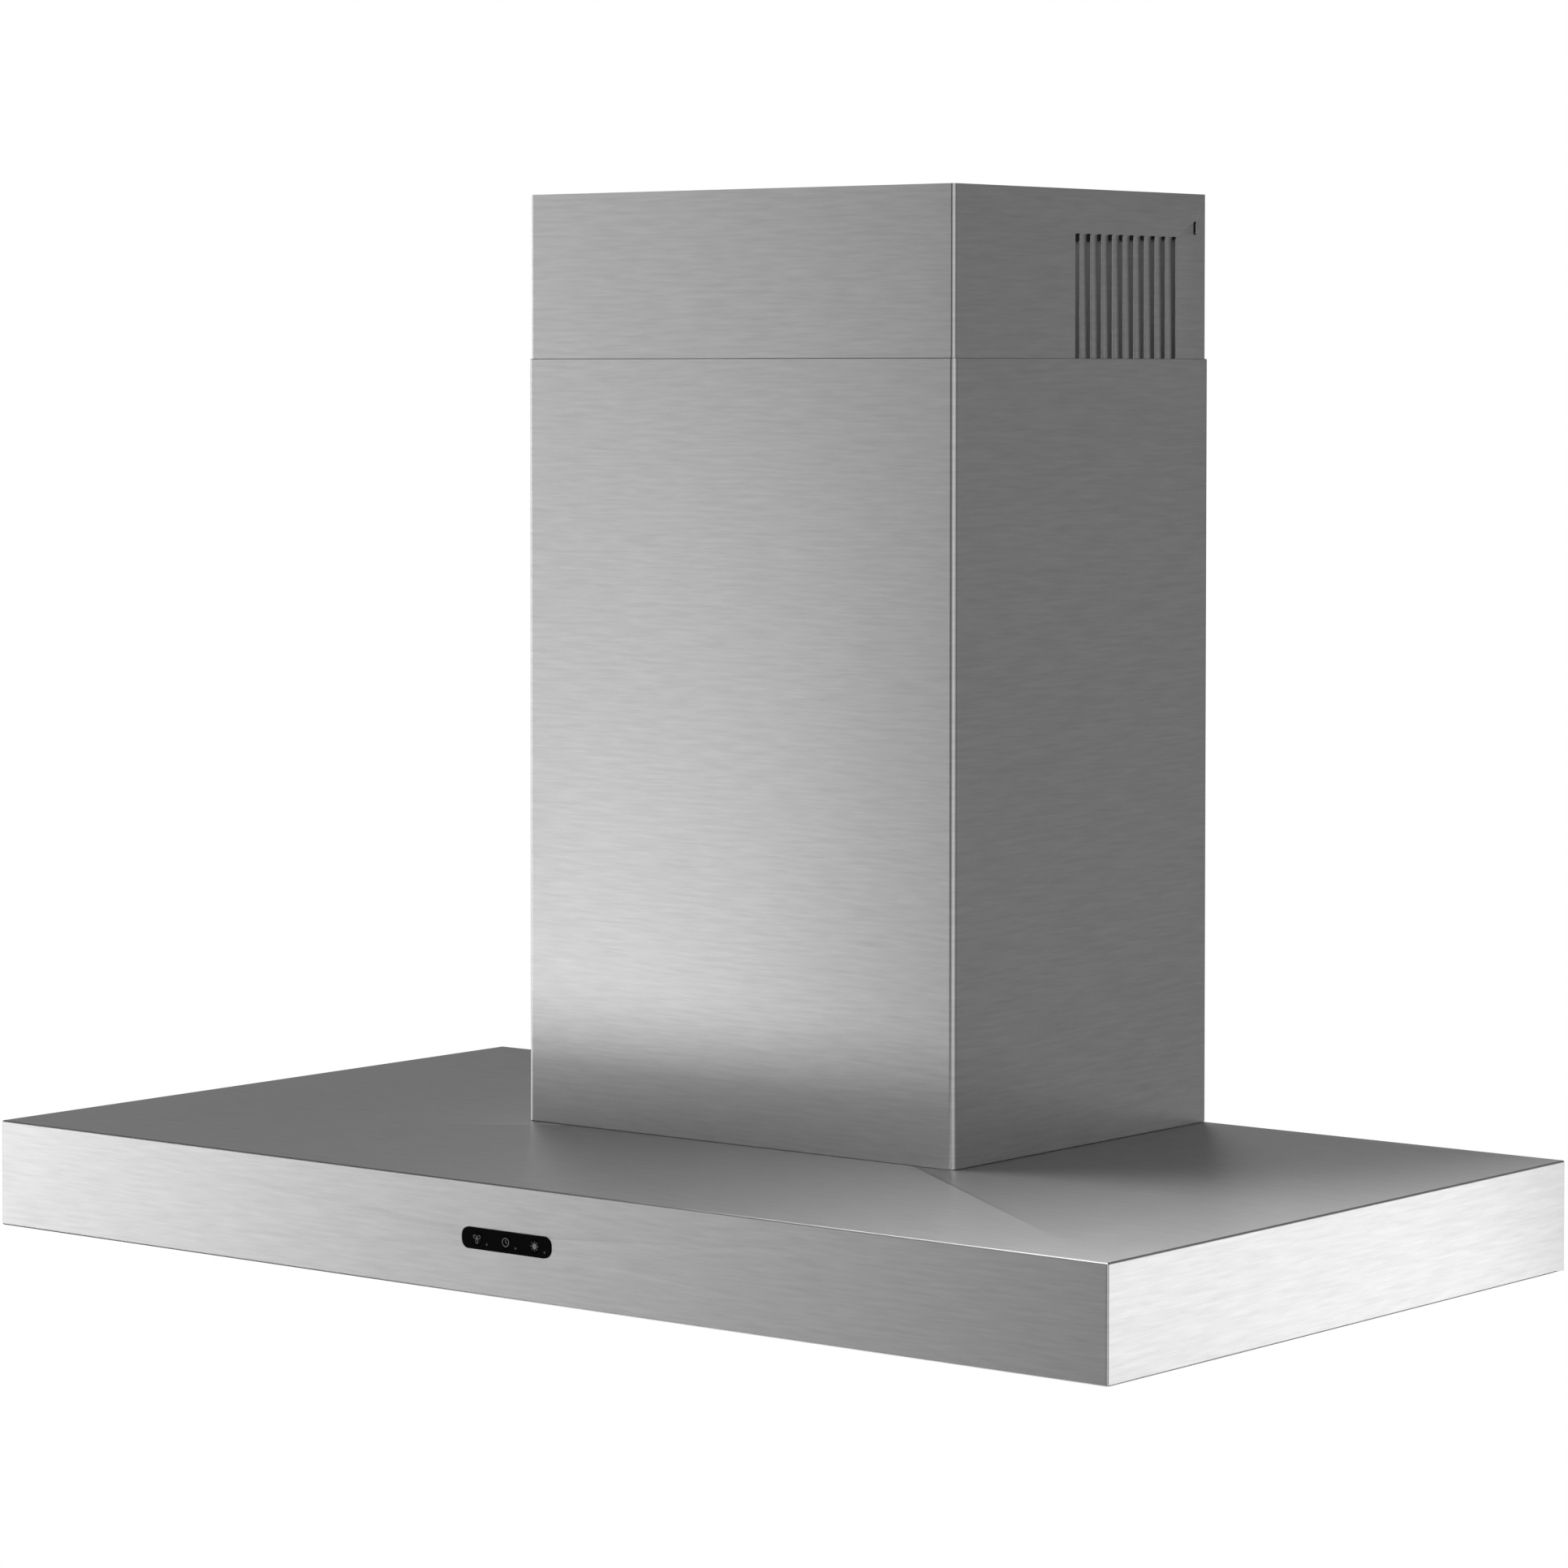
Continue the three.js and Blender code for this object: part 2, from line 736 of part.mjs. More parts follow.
/** The wall bracket that the upper cover is screwed to: it touches the wall between the cover's flanges. */
function upperCoverBracket() {
  const t = topBracket.sheet;
  const wallHalf = upperHalf - cover.rearFlange - 1;
  const step = upperRear - cover.sheet - clear;
  const earHalf = upperInnerHalf - clear;
  const right = [
    [wallHalf, 0],
    [wallHalf, step],
    [earHalf, step],
    [earHalf, step - topBracket.ear],
    [earHalf - t, step - topBracket.ear],
    [earHalf - t, step - t],
    [wallHalf - t, step - t],
    [wallHalf - t, -t],
  ];
  const left = right.map(([x, y]) => [-x, y]).reverse();
  const top = upperTop - topBracket.fromTop;
  const strip = upright(outline([...right, ...left]), top - topBracket.height, top);
  const wallHoles = [-1, 1].map((side) =>
    rod(hanger.wallHoleRadius, -5, 5)
      .rotateX(Math.PI / 2)
      .translate((side * wallHalf) / 2, 0, top - topBracket.height / 2),
  );
  return cut(strip, fixingSlot(), ...wallHoles);
}

/** An angle on the canopy's top that locates the lower cover's side; side is 1 on the right. */
function lowerCoverClip(side) {
  const outer = coverHalf - cover.sheet - clear;
  const t = clip.sheet;
  const half = clip.width / 2;
  const profile = join(
    block(outer - t, outer, -half, half, onCanopy, onCanopy + clip.height),
    block(outer - clip.foot, outer - t / 2, -half, half, onCanopy, onCanopy + t),
  );
  profile.translate(0, -clip.fromWall, 0);
  return side > 0 ? profile : profile.rotateZ(Math.PI).translate(0, -2 * clip.fromWall, 0);
}

// ---------------------------------------------------------------- blower enclosure and hanger

function enclosureScrewPlaces() {
  return [-1, 1].flatMap((side) => [
    [side * enclosureScrewX, enclosureFront + enclosure.screwFromEnd],
    [side * enclosureScrewX, enclosureRear - enclosure.screwFromEnd],
  ]);
}

/** The sheet box round the blower, open below, with a flange on the canopy and slots for the hooks. */
function blowerEnclosure() {
  const t = enclosure.sheet;
  const f = enclosure.flange;
  const flange = centred(enclosureHalf + f, enclosureFront - f, enclosureRear + f, onCanopy, onCanopy + t);
  const skin = centred(enclosureHalf, enclosureFront, enclosureRear, onCanopy, enclosureTop);
  const inside = centred(
    enclosureInnerHalf,
    enclosureFront + t,
    enclosureRear - t,
    onCanopy - 1,
    enclosureTop - t,
  );
  const outlet = centred(
    scroll.innerWidth / 2,
    outletFront,
    outletRear,
    enclosureTop - 2 * t,
    enclosureTop + 1,
  );
  const hooks = [-1, 1].map((side) =>
    block(
      -hanger.hookWidth / 2 - 2,
      hanger.hookWidth / 2 + 2,
      enclosureRear - 2 * t,
      enclosureRear + 1,
      hookZ - hanger.sheet - clear - 2,
      hookZ + hanger.hookRise + 2,
    ).translate((side * hanger.hookSpacing) / 2, 0, 0),
  );
  const holes = enclosureScrewPlaces().map(([x, y]) =>
    rod(screw.shankRadius + screw.holeSlack, onCanopy - 1, onCanopy + t + 1).translate(x, y, 0),
  );
  return cut(join(flange, skin), inside, outlet, ...hooks, ...holes);
}

function enclosureScrew([x, y]) {
  const seat = onCanopy + enclosure.sheet + clear;
  return turned(
    [
      [0, seat - screw.shankLength],
      [screw.shankRadius, seat - screw.shankLength],
      [screw.shankRadius, seat],
      [screw.headRadius, seat],
      [screw.headRadius, seat + screw.headHeight * 0.5],
      [screw.headRadius * 0.6, seat + screw.headHeight],
      [0, seat + screw.headHeight],
    ],
    20,
  ).translate(x, y, 0);
}

/** The strip on the wall whose two hooks carry the hood through the enclosure's rear slots. */
function wallHanger() {
  const t = hanger.sheet;
  const plate = centred(hanger.width / 2, -t, 0, hangerBase, hangerBase + hanger.height);
  const half = hanger.hookWidth / 2;
  const hook = join(
    centred(half, hookReach - t, -t / 2, hookZ - t, hookZ),
    centred(half, hookReach - t, hookReach, hookZ - t, hookZ + hanger.hookRise),
  );
  const hooks = [-1, 1].map((side) => hook.clone().translate((side * hanger.hookSpacing) / 2, 0, 0));
  const holes = [-1, 1].map((side) =>
    rod(hanger.wallHoleRadius, -5, 5)
      .rotateX(Math.PI / 2)
      .translate(side * (hanger.width / 2 - 12), 0, hookZ),
  );
  return cut(join(plate, ...hooks), ...holes);
}

// ---------------------------------------------------------------- blower

/**
 * The scroll's outline in y and z, widened by a wall's thickness: the outlet's rear wall, the tongue,
 * the spiral round the rear, below and in front, and the outlet's front wall.
 */
function scrollOutline(widen, top) {
  const steps = 30;
  const points = [[outletRear + widen, top]];
  const startAngle = Math.acos(-(tongueOffset - widen) / (spiralStart + widen));
  for (let i = 0; i <= steps; i++) {
    const turn = (i / steps) * (startAngle + Math.PI - 0.001);
    const share = turn / (1.5 * Math.PI);
    const radius = spiralStart * (1 + scroll.growth * Math.min(1, share)) + widen;
    const angle = startAngle - turn;
    points.push([axisY + radius * Math.cos(angle), axisZ + radius * Math.sin(angle)]);
  }
  points.push([outletFront - widen, axisZ], [outletFront - widen, top]);
  return outline(points);
}

/** Half of the scroll, from the middle plane to one side; side is 1 on the right. */
function scrollHalf(side) {
  const near = clear / 2;
  const inner = scroll.innerWidth / 2;
  const shell = sideways(scrollOutline(scroll.wall, outletTop), near, scrollOuterHalf);
  const hollow = sideways(scrollOutline(0, outletTop + 1), near - 1, inner);
  const inlet = alongX(rod(inletRadius, inner - 1, scrollOuterHalf + 1, 40)).translate(0, axisY, axisZ);
  const half = cut(shell, hollow, inlet);
  return side > 0 ? half : mirrored(half);
}

/** The same piece on the other side of the middle plane, facing out. */
function mirrored(geometry) {
  const solid = solidOf(geometry);
  return geometryOf(solid.mirror([1, 0, 0]));
}

/** The double-inlet wheel: a middle disc with a hub, and a ring of blades to each side. */
function impellerWheel() {
  const half = impeller.width / 2;
  const ringInner = impellerRadius - impeller.ringWidth;
  const t = impeller.ringThickness;
  const disc = rod(impellerRadius, -t / 2, t / 2, 40);
  const pieces = [disc, rod(impeller.hubRadius, -impeller.hubLength, t, 24)];
  for (const z0 of [-half, half - t]) {
    pieces.push(
      turned(
        [
          [ringInner, z0],
          [impellerRadius, z0],
          [impellerRadius, z0 + t],
          [ringInner, z0 + t],
        ],
        40,
      ),
    );
  }
  const bladeRadius = impellerRadius - impeller.ringWidth / 2;
  for (let i = 0; i < impeller.bladeCount; i++) {
    const blade = block(
      -impeller.bladeDepth / 2,
      impeller.bladeDepth / 2,
      -impeller.bladeThickness / 2,
      impeller.bladeThickness / 2,
      -half + t / 2,
      half - t / 2,
    );
    blade.rotateZ(THREE.MathUtils.degToRad(impeller.bladeTilt)).translate(bladeRadius, 0, 0);
    pieces.push(blade.rotateZ((i / impeller.bladeCount) * 2 * Math.PI));
  }
  const bore = rod(shaft.radius + clear, -impeller.hubLength - 1, t + 1, 24);
  return alongX(cut(join(...pieces), bore));
}

/** A ring with a square section about z. */
function ring(inner, outer, z0, z1, segments = 32) {
  return turned(
    [
      [inner, z0],
      [outer, z0],
      [outer, z1],
      [inner, z1],
    ],
    segments,
  );
}

function motorCan() {
  const { radius, length, edge, fromHub } = motor;
  const bore = motor.bearingRadius + clear;
  const profile = [
    [bore, fromHub],
    [radius - edge, fromHub],
    [radius, fromHub + edge],
    [radius, fromHub + length - edge],
    [radius - edge, fromHub + length],
    [bore, fromHub + length],
  ];
  return alongX(turned(profile));
}

function motorBearing(x) {
  return alongX(ring(shaft.radius + clear, motor.bearingRadius, x, x + motor.bearingLength, 24));
}

function motorShaft() {
  const end = motor.fromHub + motor.length + shaft.reach;
  return alongX(rod(shaft.radius, -impeller.hubLength - 2, end, 24));
}

/** The three-armed bracket that holds the motor in the right-hand inlet. */
function motorSpider() {
  const hubInner = motor.radius + clear;
  const hubOuter = hubInner + spider.hubWall;
  const x0 = scrollOuterHalf + clear;
  const rimInner = inletRadius + 1;
  const rimOuter = rimInner + spider.rim;
  const arms = [];
  for (let i = 0; i < spider.armCount; i++) {
    const arm = block(
      hubInner + spider.hubWall / 2,
      rimInner + spider.rim / 2,
      -spider.armWidth / 2,
      spider.armWidth / 2,
      x0,
      x0 + spider.thickness,
    );
    arms.push(arm.rotateZ(((i + 0.25) / spider.armCount) * 2 * Math.PI));
  }
  return alongX(
    join(
      ring(rimInner, rimOuter, x0, x0 + spider.thickness),
      ring(hubInner, hubOuter, x0 + spider.thickness - spider.hubLength, x0 + spider.thickness),
      ...arms,
    ),
  );
}

function runCapacitor() {
  const x = -enclosureInnerHalf + capacitor.radius + 3;
  const y = enclosureFront + enclosure.sheet + capacitor.radius + 3;
  const top = enclosureTop - capacitor.fromEnclosureTop;
  return join(
    rod(capacitor.radius, top - capacitor.length, top, 28),
    rod(capacitor.radius * 0.4, top - 1, top + 6, 16),
  ).translate(x, y, 0);
}

// ---------------------------------------------------------------- outlet collar and damper

function outletCollar() {
  const plate = centred(collarHalf, -collarHalf, collarHalf, collarBase, collarBase + duct.flangeThickness);
  const tube = rod(collarRadius, collarBase, collarBase + duct.height, 36);
  const bore = rod(collarInner, collarBase + duct.flangeThickness, collarBase + duct.height + 1, 36);
  const mouth = rod(collarInner - duct.stopWidth, collarBase - 1, collarBase + duct.height, 36);
  const stop = ring(
    collarInner - duct.stopWidth,
    collarInner + duct.wall / 2,
    stopTop - duct.stopThickness,
    stopTop,
    36,
  );
  const pinHole = alongX(rod(damper.pinRadius + clear, -collarRadius - 1, collarRadius + 1, 16));
  pinHole.translate(0, 0, pinZ);
  const body = join(cut(join(plate, tube), bore), stop);
  return cut(body, mouth, pinHole).translate(0, collarY, 0);
}

function damperPin() {
  const half = collarRadius - clear;
  return alongX(rod(damper.pinRadius, -half, half, 20)).translate(0, collarY, pinZ);
}

/** One leaf of the damper: a half disc with every other knuckle on the pin; side is 1 towards the wall. */
function damperFlap(side) {
  const low = -damper.pinRadius;
  const high = low + damper.plate;
  const leafStart = knuckleRadius + clear;
  const disc = rod(flapRadius, low, high, 40);
  const otherHalf = centred(flapRadius + 1, -flapRadius - 1, leafStart, low - 1, high + 1);
  const span = 2 * (flapRadius - damper.knuckleInset);
  const step = span / damper.knuckleCount;
  const parts = [cut(disc, otherHalf)];
  for (let i = 0; i < damper.knuckleCount / 2; i++) {
    const x0 = -span / 2 + 2 * i * step + (side > 0 ? 0 : step) + clear;
    const x1 = x0 + step - 2 * clear;
    parts.push(alongX(rod(knuckleRadius, x0, x1, 20)), block(x0, x1, 0, leafStart + 1, low, high));
  }
  const bore = alongX(rod(knuckleBore, -flapRadius, flapRadius, 20));
  const leaf = cut(join(...parts), bore);
  const placed = side > 0 ? leaf : geometryOf(solidOf(leaf).mirror([0, 1, 0]));
  return placed.translate(0, collarY, pinZ);
}

// ---------------------------------------------------------------- wiring boxes

const junctionX = enclosureHalf + clear;
const junctionRear = enclosureRear - junction.fromWall;
const junctionZ = onCanopy + junction.fromFlange;

function junctionBox() {
  const t = junction.sheet;
  const front = junctionRear - junction.depth;
  const top = junctionZ + junction.height;
  const outer = junctionX + junction.width;
  return cut(
    block(junctionX, outer, front, junctionRear, junctionZ, top),
    block(junctionX + t, outer + 1, front + t, junctionRear - t, junctionZ + t, top - t),
    rod(gland.boreRadius + 2, top - 2 * t, top + 1).translate(...glandPlace()),
  );
}

function junctionBoxCover() {
  const x = junctionX + junction.width + clear;
  return block(x, x + 1, junctionRear - junction.depth, junctionRear, junctionZ, junctionZ + junction.height);
}

function glandPlace() {
  return [junctionX + junction.width / 2, junctionRear - junction.depth / 2, 0];
}

/** The cable gland on the junction box: a threaded neck with its nut. */
function cableGland() {
  const base = junctionZ + junction.height + clear;
  const neck = ring(gland.boreRadius, gland.radius, base, base + gland.height, 28);
  const nut = ring(gland.boreRadius, gland.nutRadius, base, base + gland.nutHeight, 6);
  return join(neck, nut).translate(...glandPlace());
}

function terminalBlock() {
  const x = junctionX + junction.sheet + clear;
  const y = junctionRear - (junction.depth - terminal.depth) / 2;
  const z = junctionZ + junction.sheet + clear + 8;
  const outer = x + terminal.width;
  const top = z + terminal.height;
  const pole = terminal.depth / terminal.poles;
  const pockets = [];
  for (let i = 0; i < terminal.poles; i++) {
    const middle = y - terminal.depth + (i + 0.5) * pole;
    pockets.push(block(x + 6, outer + 1, middle - pole / 3, middle + pole / 3, z + 6, top - 4));
  }
  return cut(block(x, outer, y - terminal.depth, y, z, top), ...pockets);
}

/** The plastic box of the power electronics, with cooling slots in its outer face. */
function powerModule() {
  const outer = -enclosureHalf - clear - moduleBox.width;
  const rear = enclosureRear - moduleBox.fromWall;
  const front = rear - moduleBox.depth;
  const bottom = onCanopy + moduleBox.fromFlange;
  const body = block(outer, -enclosureHalf - clear, front, rear, bottom, bottom + moduleBox.height);
  const slots = [];
  const pitch = moduleBox.depth / (moduleBox.ribCount + 1);
  for (let i = 1; i <= moduleBox.ribCount; i++) {
    const y = front + i * pitch;
    slots.push(block(outer - 1, outer + 2, y - 2, y + 2, bottom + 12, bottom + moduleBox.height - 12));
  }
  return cut(body, ...slots);
}

// ---------------------------------------------------------------- the assembly

const finish = (color, roughness, metalness) =>
  new THREE.MeshStandardMaterial({ color, roughness, metalness });
const brushedSteel = finish(0xb4b4b4, 0.35, 1);
const galvanised = finish(0x9a9d9f, 0.5, 1);
const aluminium = finish(0xc4c6c8, 0.4, 1);
const motorSteel = finish(0x7d8083, 0.45, 1);
const glossBlack = finish(0x0a0a0b, 0.08, 0);
const mattBlack = finish(0x1c1d1f, 0.6, 0);
const greyPlastic = finish(0x55585b, 0.55, 0);
const frosted = finish(0xf2f1ea, 0.3, 0);
const boardGreen = finish(0x1f5a3a, 0.6, 0);
const brass = finish(0xb08d4a, 0.35, 1);

function piece(name, geometry, material) {
  const mesh = new THREE.Mesh(geometry, material);
  mesh.name = name;
  return mesh;
}

const hood = new THREE.Group();
hood.add(
  piece("canopy_shell", canopyShell(), brushedSteel),
  piece("canopy_back_panel", canopyBackPanel(), galvanised),
  piece("underside_panel", undersidePanel(), brushedSteel),
);

for (const [label, side] of [
  ["left", -1],
  ["right", 1],
]) {
  const cartridge = new THREE.Group();
  cartridge.position.set(side * filterMiddle, filterHinge, tray.recess);
  cartridge.add(
    piece(`filter_frame_${label}`, filterFrame(), aluminium),
    piece(`filter_mesh_${label}`, filterMesh(), aluminium),
    piece(`filter_latch_${label}`, filterLatch(), mattBlack),
  );
  const light = new THREE.Group();
  light.position.set(side * (canopyHalf - lamp.fromSide), lampMiddle, tray.recess);
  light.add(
    piece(`lamp_bezel_${label}`, lampBezel(), brushedSteel),
    piece(`lamp_lens_${label}`, lampLens(), frosted),
    piece(`lamp_housing_${label}`, lampHousing(), aluminium),
  );
  hood.add(
    cartridge,
    light,
    piece(`lower_cover_clip_${label}`, lowerCoverClip(side), galvanised),
    piece(`scroll_half_${label}`, scrollHalf(side), greyPlastic),
  );
}

hood.add(
  piece("control_fascia", controlFascia(), glossBlack),
  piece("control_carrier", controlCarrier(), mattBlack),
  piece("control_board", controlBoard(), boardGreen),
);
["fan", "timer", "light"].forEach((label, i) => {
  hood.add(
    piece(`key_${label}`, pushKey(keyPlaces[i]), glossBlack),
    piece(`key_switch_${label}`, keySwitch(keyPlaces[i]), mattBlack),
  );
});

hood.add(
  piece("lower_chimney_cover", lowerChimneyCover(), brushedSteel),
  piece("upper_chimney_cover", upperChimneyCover(), brushedSteel),
  piece("upper_cover_bracket", upperCoverBracket(), galvanised),
  piece("wall_hanger", wallHanger(), galvanised),
  piece("blower_enclosure", blowerEnclosure(), galvanised),
  piece("run_capacitor", runCapacitor(), greyPlastic),
  piece("outlet_collar", outletCollar(), mattBlack),
  piece("damper_pin", damperPin(), motorSteel),
  piece("damper_flap_front", damperFlap(-1), mattBlack),
  piece("damper_flap_rear", damperFlap(1), mattBlack),
  piece("junction_box", junctionBox(), galvanised),
  piece("junction_box_cover", junctionBoxCover(), galvanised),
  piece("terminal_block", terminalBlock(), frosted),
  piece("cable_gland", cableGland(), mattBlack),
  piece("power_module", powerModule(), greyPlastic),
);
enclosureScrewPlaces().forEach((place, i) => {
  hood.add(piece(`enclosure_screw_${i + 1}`, enclosureScrew(place), motorSteel));
});

const rotor = new THREE.Group(); // everything on the blower's axis
rotor.position.set(0, axisY, axisZ);
rotor.add(
  piece("impeller", impellerWheel(), greyPlastic),
  piece("motor_can", motorCan(), motorSteel),
  piece("motor_shaft", motorShaft(), motorSteel),
  piece("motor_spider", motorSpider(), galvanised),
  piece("motor_bearing_inner", motorBearing(motor.fromHub), brass),
  piece("motor_bearing_outer", motorBearing(motor.fromHub + motor.length - motor.bearingLength), brass),
);
hood.add(rotor);

hood.position.z = -canopy.height / 2;

const assembly = new THREE.Group();
assembly.add(hood);

export default assembly;
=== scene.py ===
"""Wall chimney range hood: the finished surfaces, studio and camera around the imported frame.

Everything is in metres in the frame's own axes: x to the right, y to the wall, z up.
"""

import logging
import math
from dataclasses import dataclass, field
from enum import Enum
from typing import Callable, Iterable, Sequence

import bmesh
import bpy
from mathutils import Matrix, Vector


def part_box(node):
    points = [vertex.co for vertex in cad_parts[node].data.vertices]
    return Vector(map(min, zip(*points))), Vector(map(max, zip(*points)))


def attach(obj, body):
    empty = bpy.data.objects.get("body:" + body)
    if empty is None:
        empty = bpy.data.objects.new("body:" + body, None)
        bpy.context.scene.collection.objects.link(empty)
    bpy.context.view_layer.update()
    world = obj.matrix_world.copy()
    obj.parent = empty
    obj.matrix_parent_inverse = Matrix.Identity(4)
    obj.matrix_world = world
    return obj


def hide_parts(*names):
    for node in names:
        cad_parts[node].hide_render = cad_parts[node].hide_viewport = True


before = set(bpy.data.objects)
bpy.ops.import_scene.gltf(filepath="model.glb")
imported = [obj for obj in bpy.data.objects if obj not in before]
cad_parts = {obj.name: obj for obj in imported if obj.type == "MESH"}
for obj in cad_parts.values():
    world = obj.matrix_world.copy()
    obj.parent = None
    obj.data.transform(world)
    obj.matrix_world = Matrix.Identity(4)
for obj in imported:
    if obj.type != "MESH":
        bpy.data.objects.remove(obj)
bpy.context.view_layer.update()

LOG = logging.getLogger("hood")
MM = 0.001
NEAR = 1e-5  # places closer than this, in metres, count as one
SIDES = ("left", "right")
KEYS = ("fan", "timer", "light")
CANOPY_PIECES = ("canopy_shell_folded",)
COVER_PIECES = ("lower_chimney_cover_folded", "upper_chimney_cover_folded")
REAR_PIECES = (
    "blower_enclosure_finished", "wall_hanger_finished", "outlet_collar_finished", "junction_box_finished",
    "junction_box_cover_finished", "cable_gland_finished", "canopy_back_panel_finished",
)
Point = Sequence[float]


class Axis(Enum):
    """The frame's axes, as unit vectors."""

    X = (1.0, 0.0, 0.0)
    Y = (0.0, 1.0, 0.0)
    Z = (0.0, 0.0, 1.0)

    @property
    def vector(self) -> Vector:
        """The axis as a Vector."""
        return Vector(self.value)


# ---------------------------------------------------------------- node graphs and finishes


class Graph:
    """A node tree with short calls for adding and joining nodes."""

    def __init__(self, tree: bpy.types.NodeTree) -> None:
        """Empties the tree.

        Args:
            tree: The node tree to fill.
        """
        self.tree = tree
        tree.nodes.clear()

    def add(self, kind: str, inputs: dict | None = None, **settings: object) -> bpy.types.Node:
        """Adds a node, and sets or links its inputs.

        Args:
            kind: The node's type name without its ShaderNode prefix.
            inputs: Input name or index to a value, or to an output socket to link.
            **settings: Properties of the node itself.

        Returns:
            The new node.
        """
        node = self.tree.nodes.new("ShaderNode" + kind)
        for name, value in settings.items():
            setattr(node, name, value)
        for name, value in (inputs or {}).items():
            if isinstance(value, bpy.types.NodeSocket):
                self.tree.links.new(value, node.inputs[name])
            else:
                node.inputs[name].default_value = value
        return node

    def math(self, operation: str, first: object, second: object = 0.0) -> bpy.types.NodeSocket:
        """Adds a Math node and returns its output.

        Args:
            operation: The Math node's operation.
            first: Value or socket of the first input.
            second: Value or socket of the second input.

        Returns:
            The output socket.
        """
        return self.add("Math", {0: first, 1: second}, operation=operation).outputs[0]

    def spread(self, value: object, low: float, high: float) -> bpy.types.NodeSocket:
        """Maps a value between 0 and 1 to the range from low to high."""
        return self.add("MapRange", {"Value": value, "To Min": low, "To Max": high}).outputs[0]

    def around(self, value: object, middle: float, reach: float) -> bpy.types.NodeSocket:
        """Maps a value between 0 and 1 to the range that reaches as far below a middle as above it."""
        return self.spread(value, middle - reach, middle + reach)

    def noise(self, vector: object, scale: float, detail: float = 2.0) -> bpy.types.NodeSocket:
        """Adds a Noise texture and returns its value between 0 and 1."""
        inputs = {"Vector": vector, "Scale": scale, "Detail": detail, "Roughness": 0.6}
        return self.add("TexNoise", inputs).outputs[0]

    def object_point(self) -> bpy.types.NodeSocket:
        """The shaded point in the piece's own coordinates, in metres."""
        return self.add("TexCoord").outputs["Object"]

    def scaled(self, vector: object, factors: Point) -> bpy.types.NodeSocket:
        """Multiplies a vector by three factors."""
        return self.add("VectorMath", {0: vector, 1: tuple(factors)}, operation="MULTIPLY").outputs[0]

    def tinted(self, color: Point, factor: object) -> bpy.types.NodeSocket:
        """Multiplies a colour by a factor socket."""
        inputs = {0: tuple(color), "Scale": factor}
        return self.add("VectorMath", inputs, operation="SCALE").outputs[0]

    def bump(self, height: object, distance: float, strength: float = 1.0) -> bpy.types.NodeSocket:
        """Turns a height between 0 and 1 into a normal.

        Args:
            height: Socket with the height.
            distance: The height's full depth in metres.
            strength: How much of the bump shows.

        Returns:
            The normal socket.
        """
        inputs = {"Height": height, "Distance": distance, "Strength": strength}
        return self.add("Bump", inputs).outputs[0]

    def surface(self, inputs: dict) -> None:
        """Adds the Principled shader and the material's output."""
        shader = self.add("BsdfPrincipled", inputs)
        self.add("OutputMaterial", {"Surface": shader.outputs[0]})


@dataclass(frozen=True)
class Finish:
    """A surface finish: its name, colour and roughness, and the graph that draws it."""

    name: str
    color: tuple[float, float, float]
    roughness: float

    def draw(self, graph: Graph) -> None:
        """Fills the material's graph. Each kind of finish has its own."""
        raise NotImplementedError

    def material(self) -> bpy.types.Material:
        """Makes the finish's material the first time it is asked for.

        Returns:
            The material.
        """
        found = bpy.data.materials.get(self.name)
        if found:
            return found
        material = bpy.data.materials.new(self.name)
        material.use_nodes = True
        self.draw(Graph(material.node_tree))
        material.diffuse_color = (*self.color, 1.0)
        return material


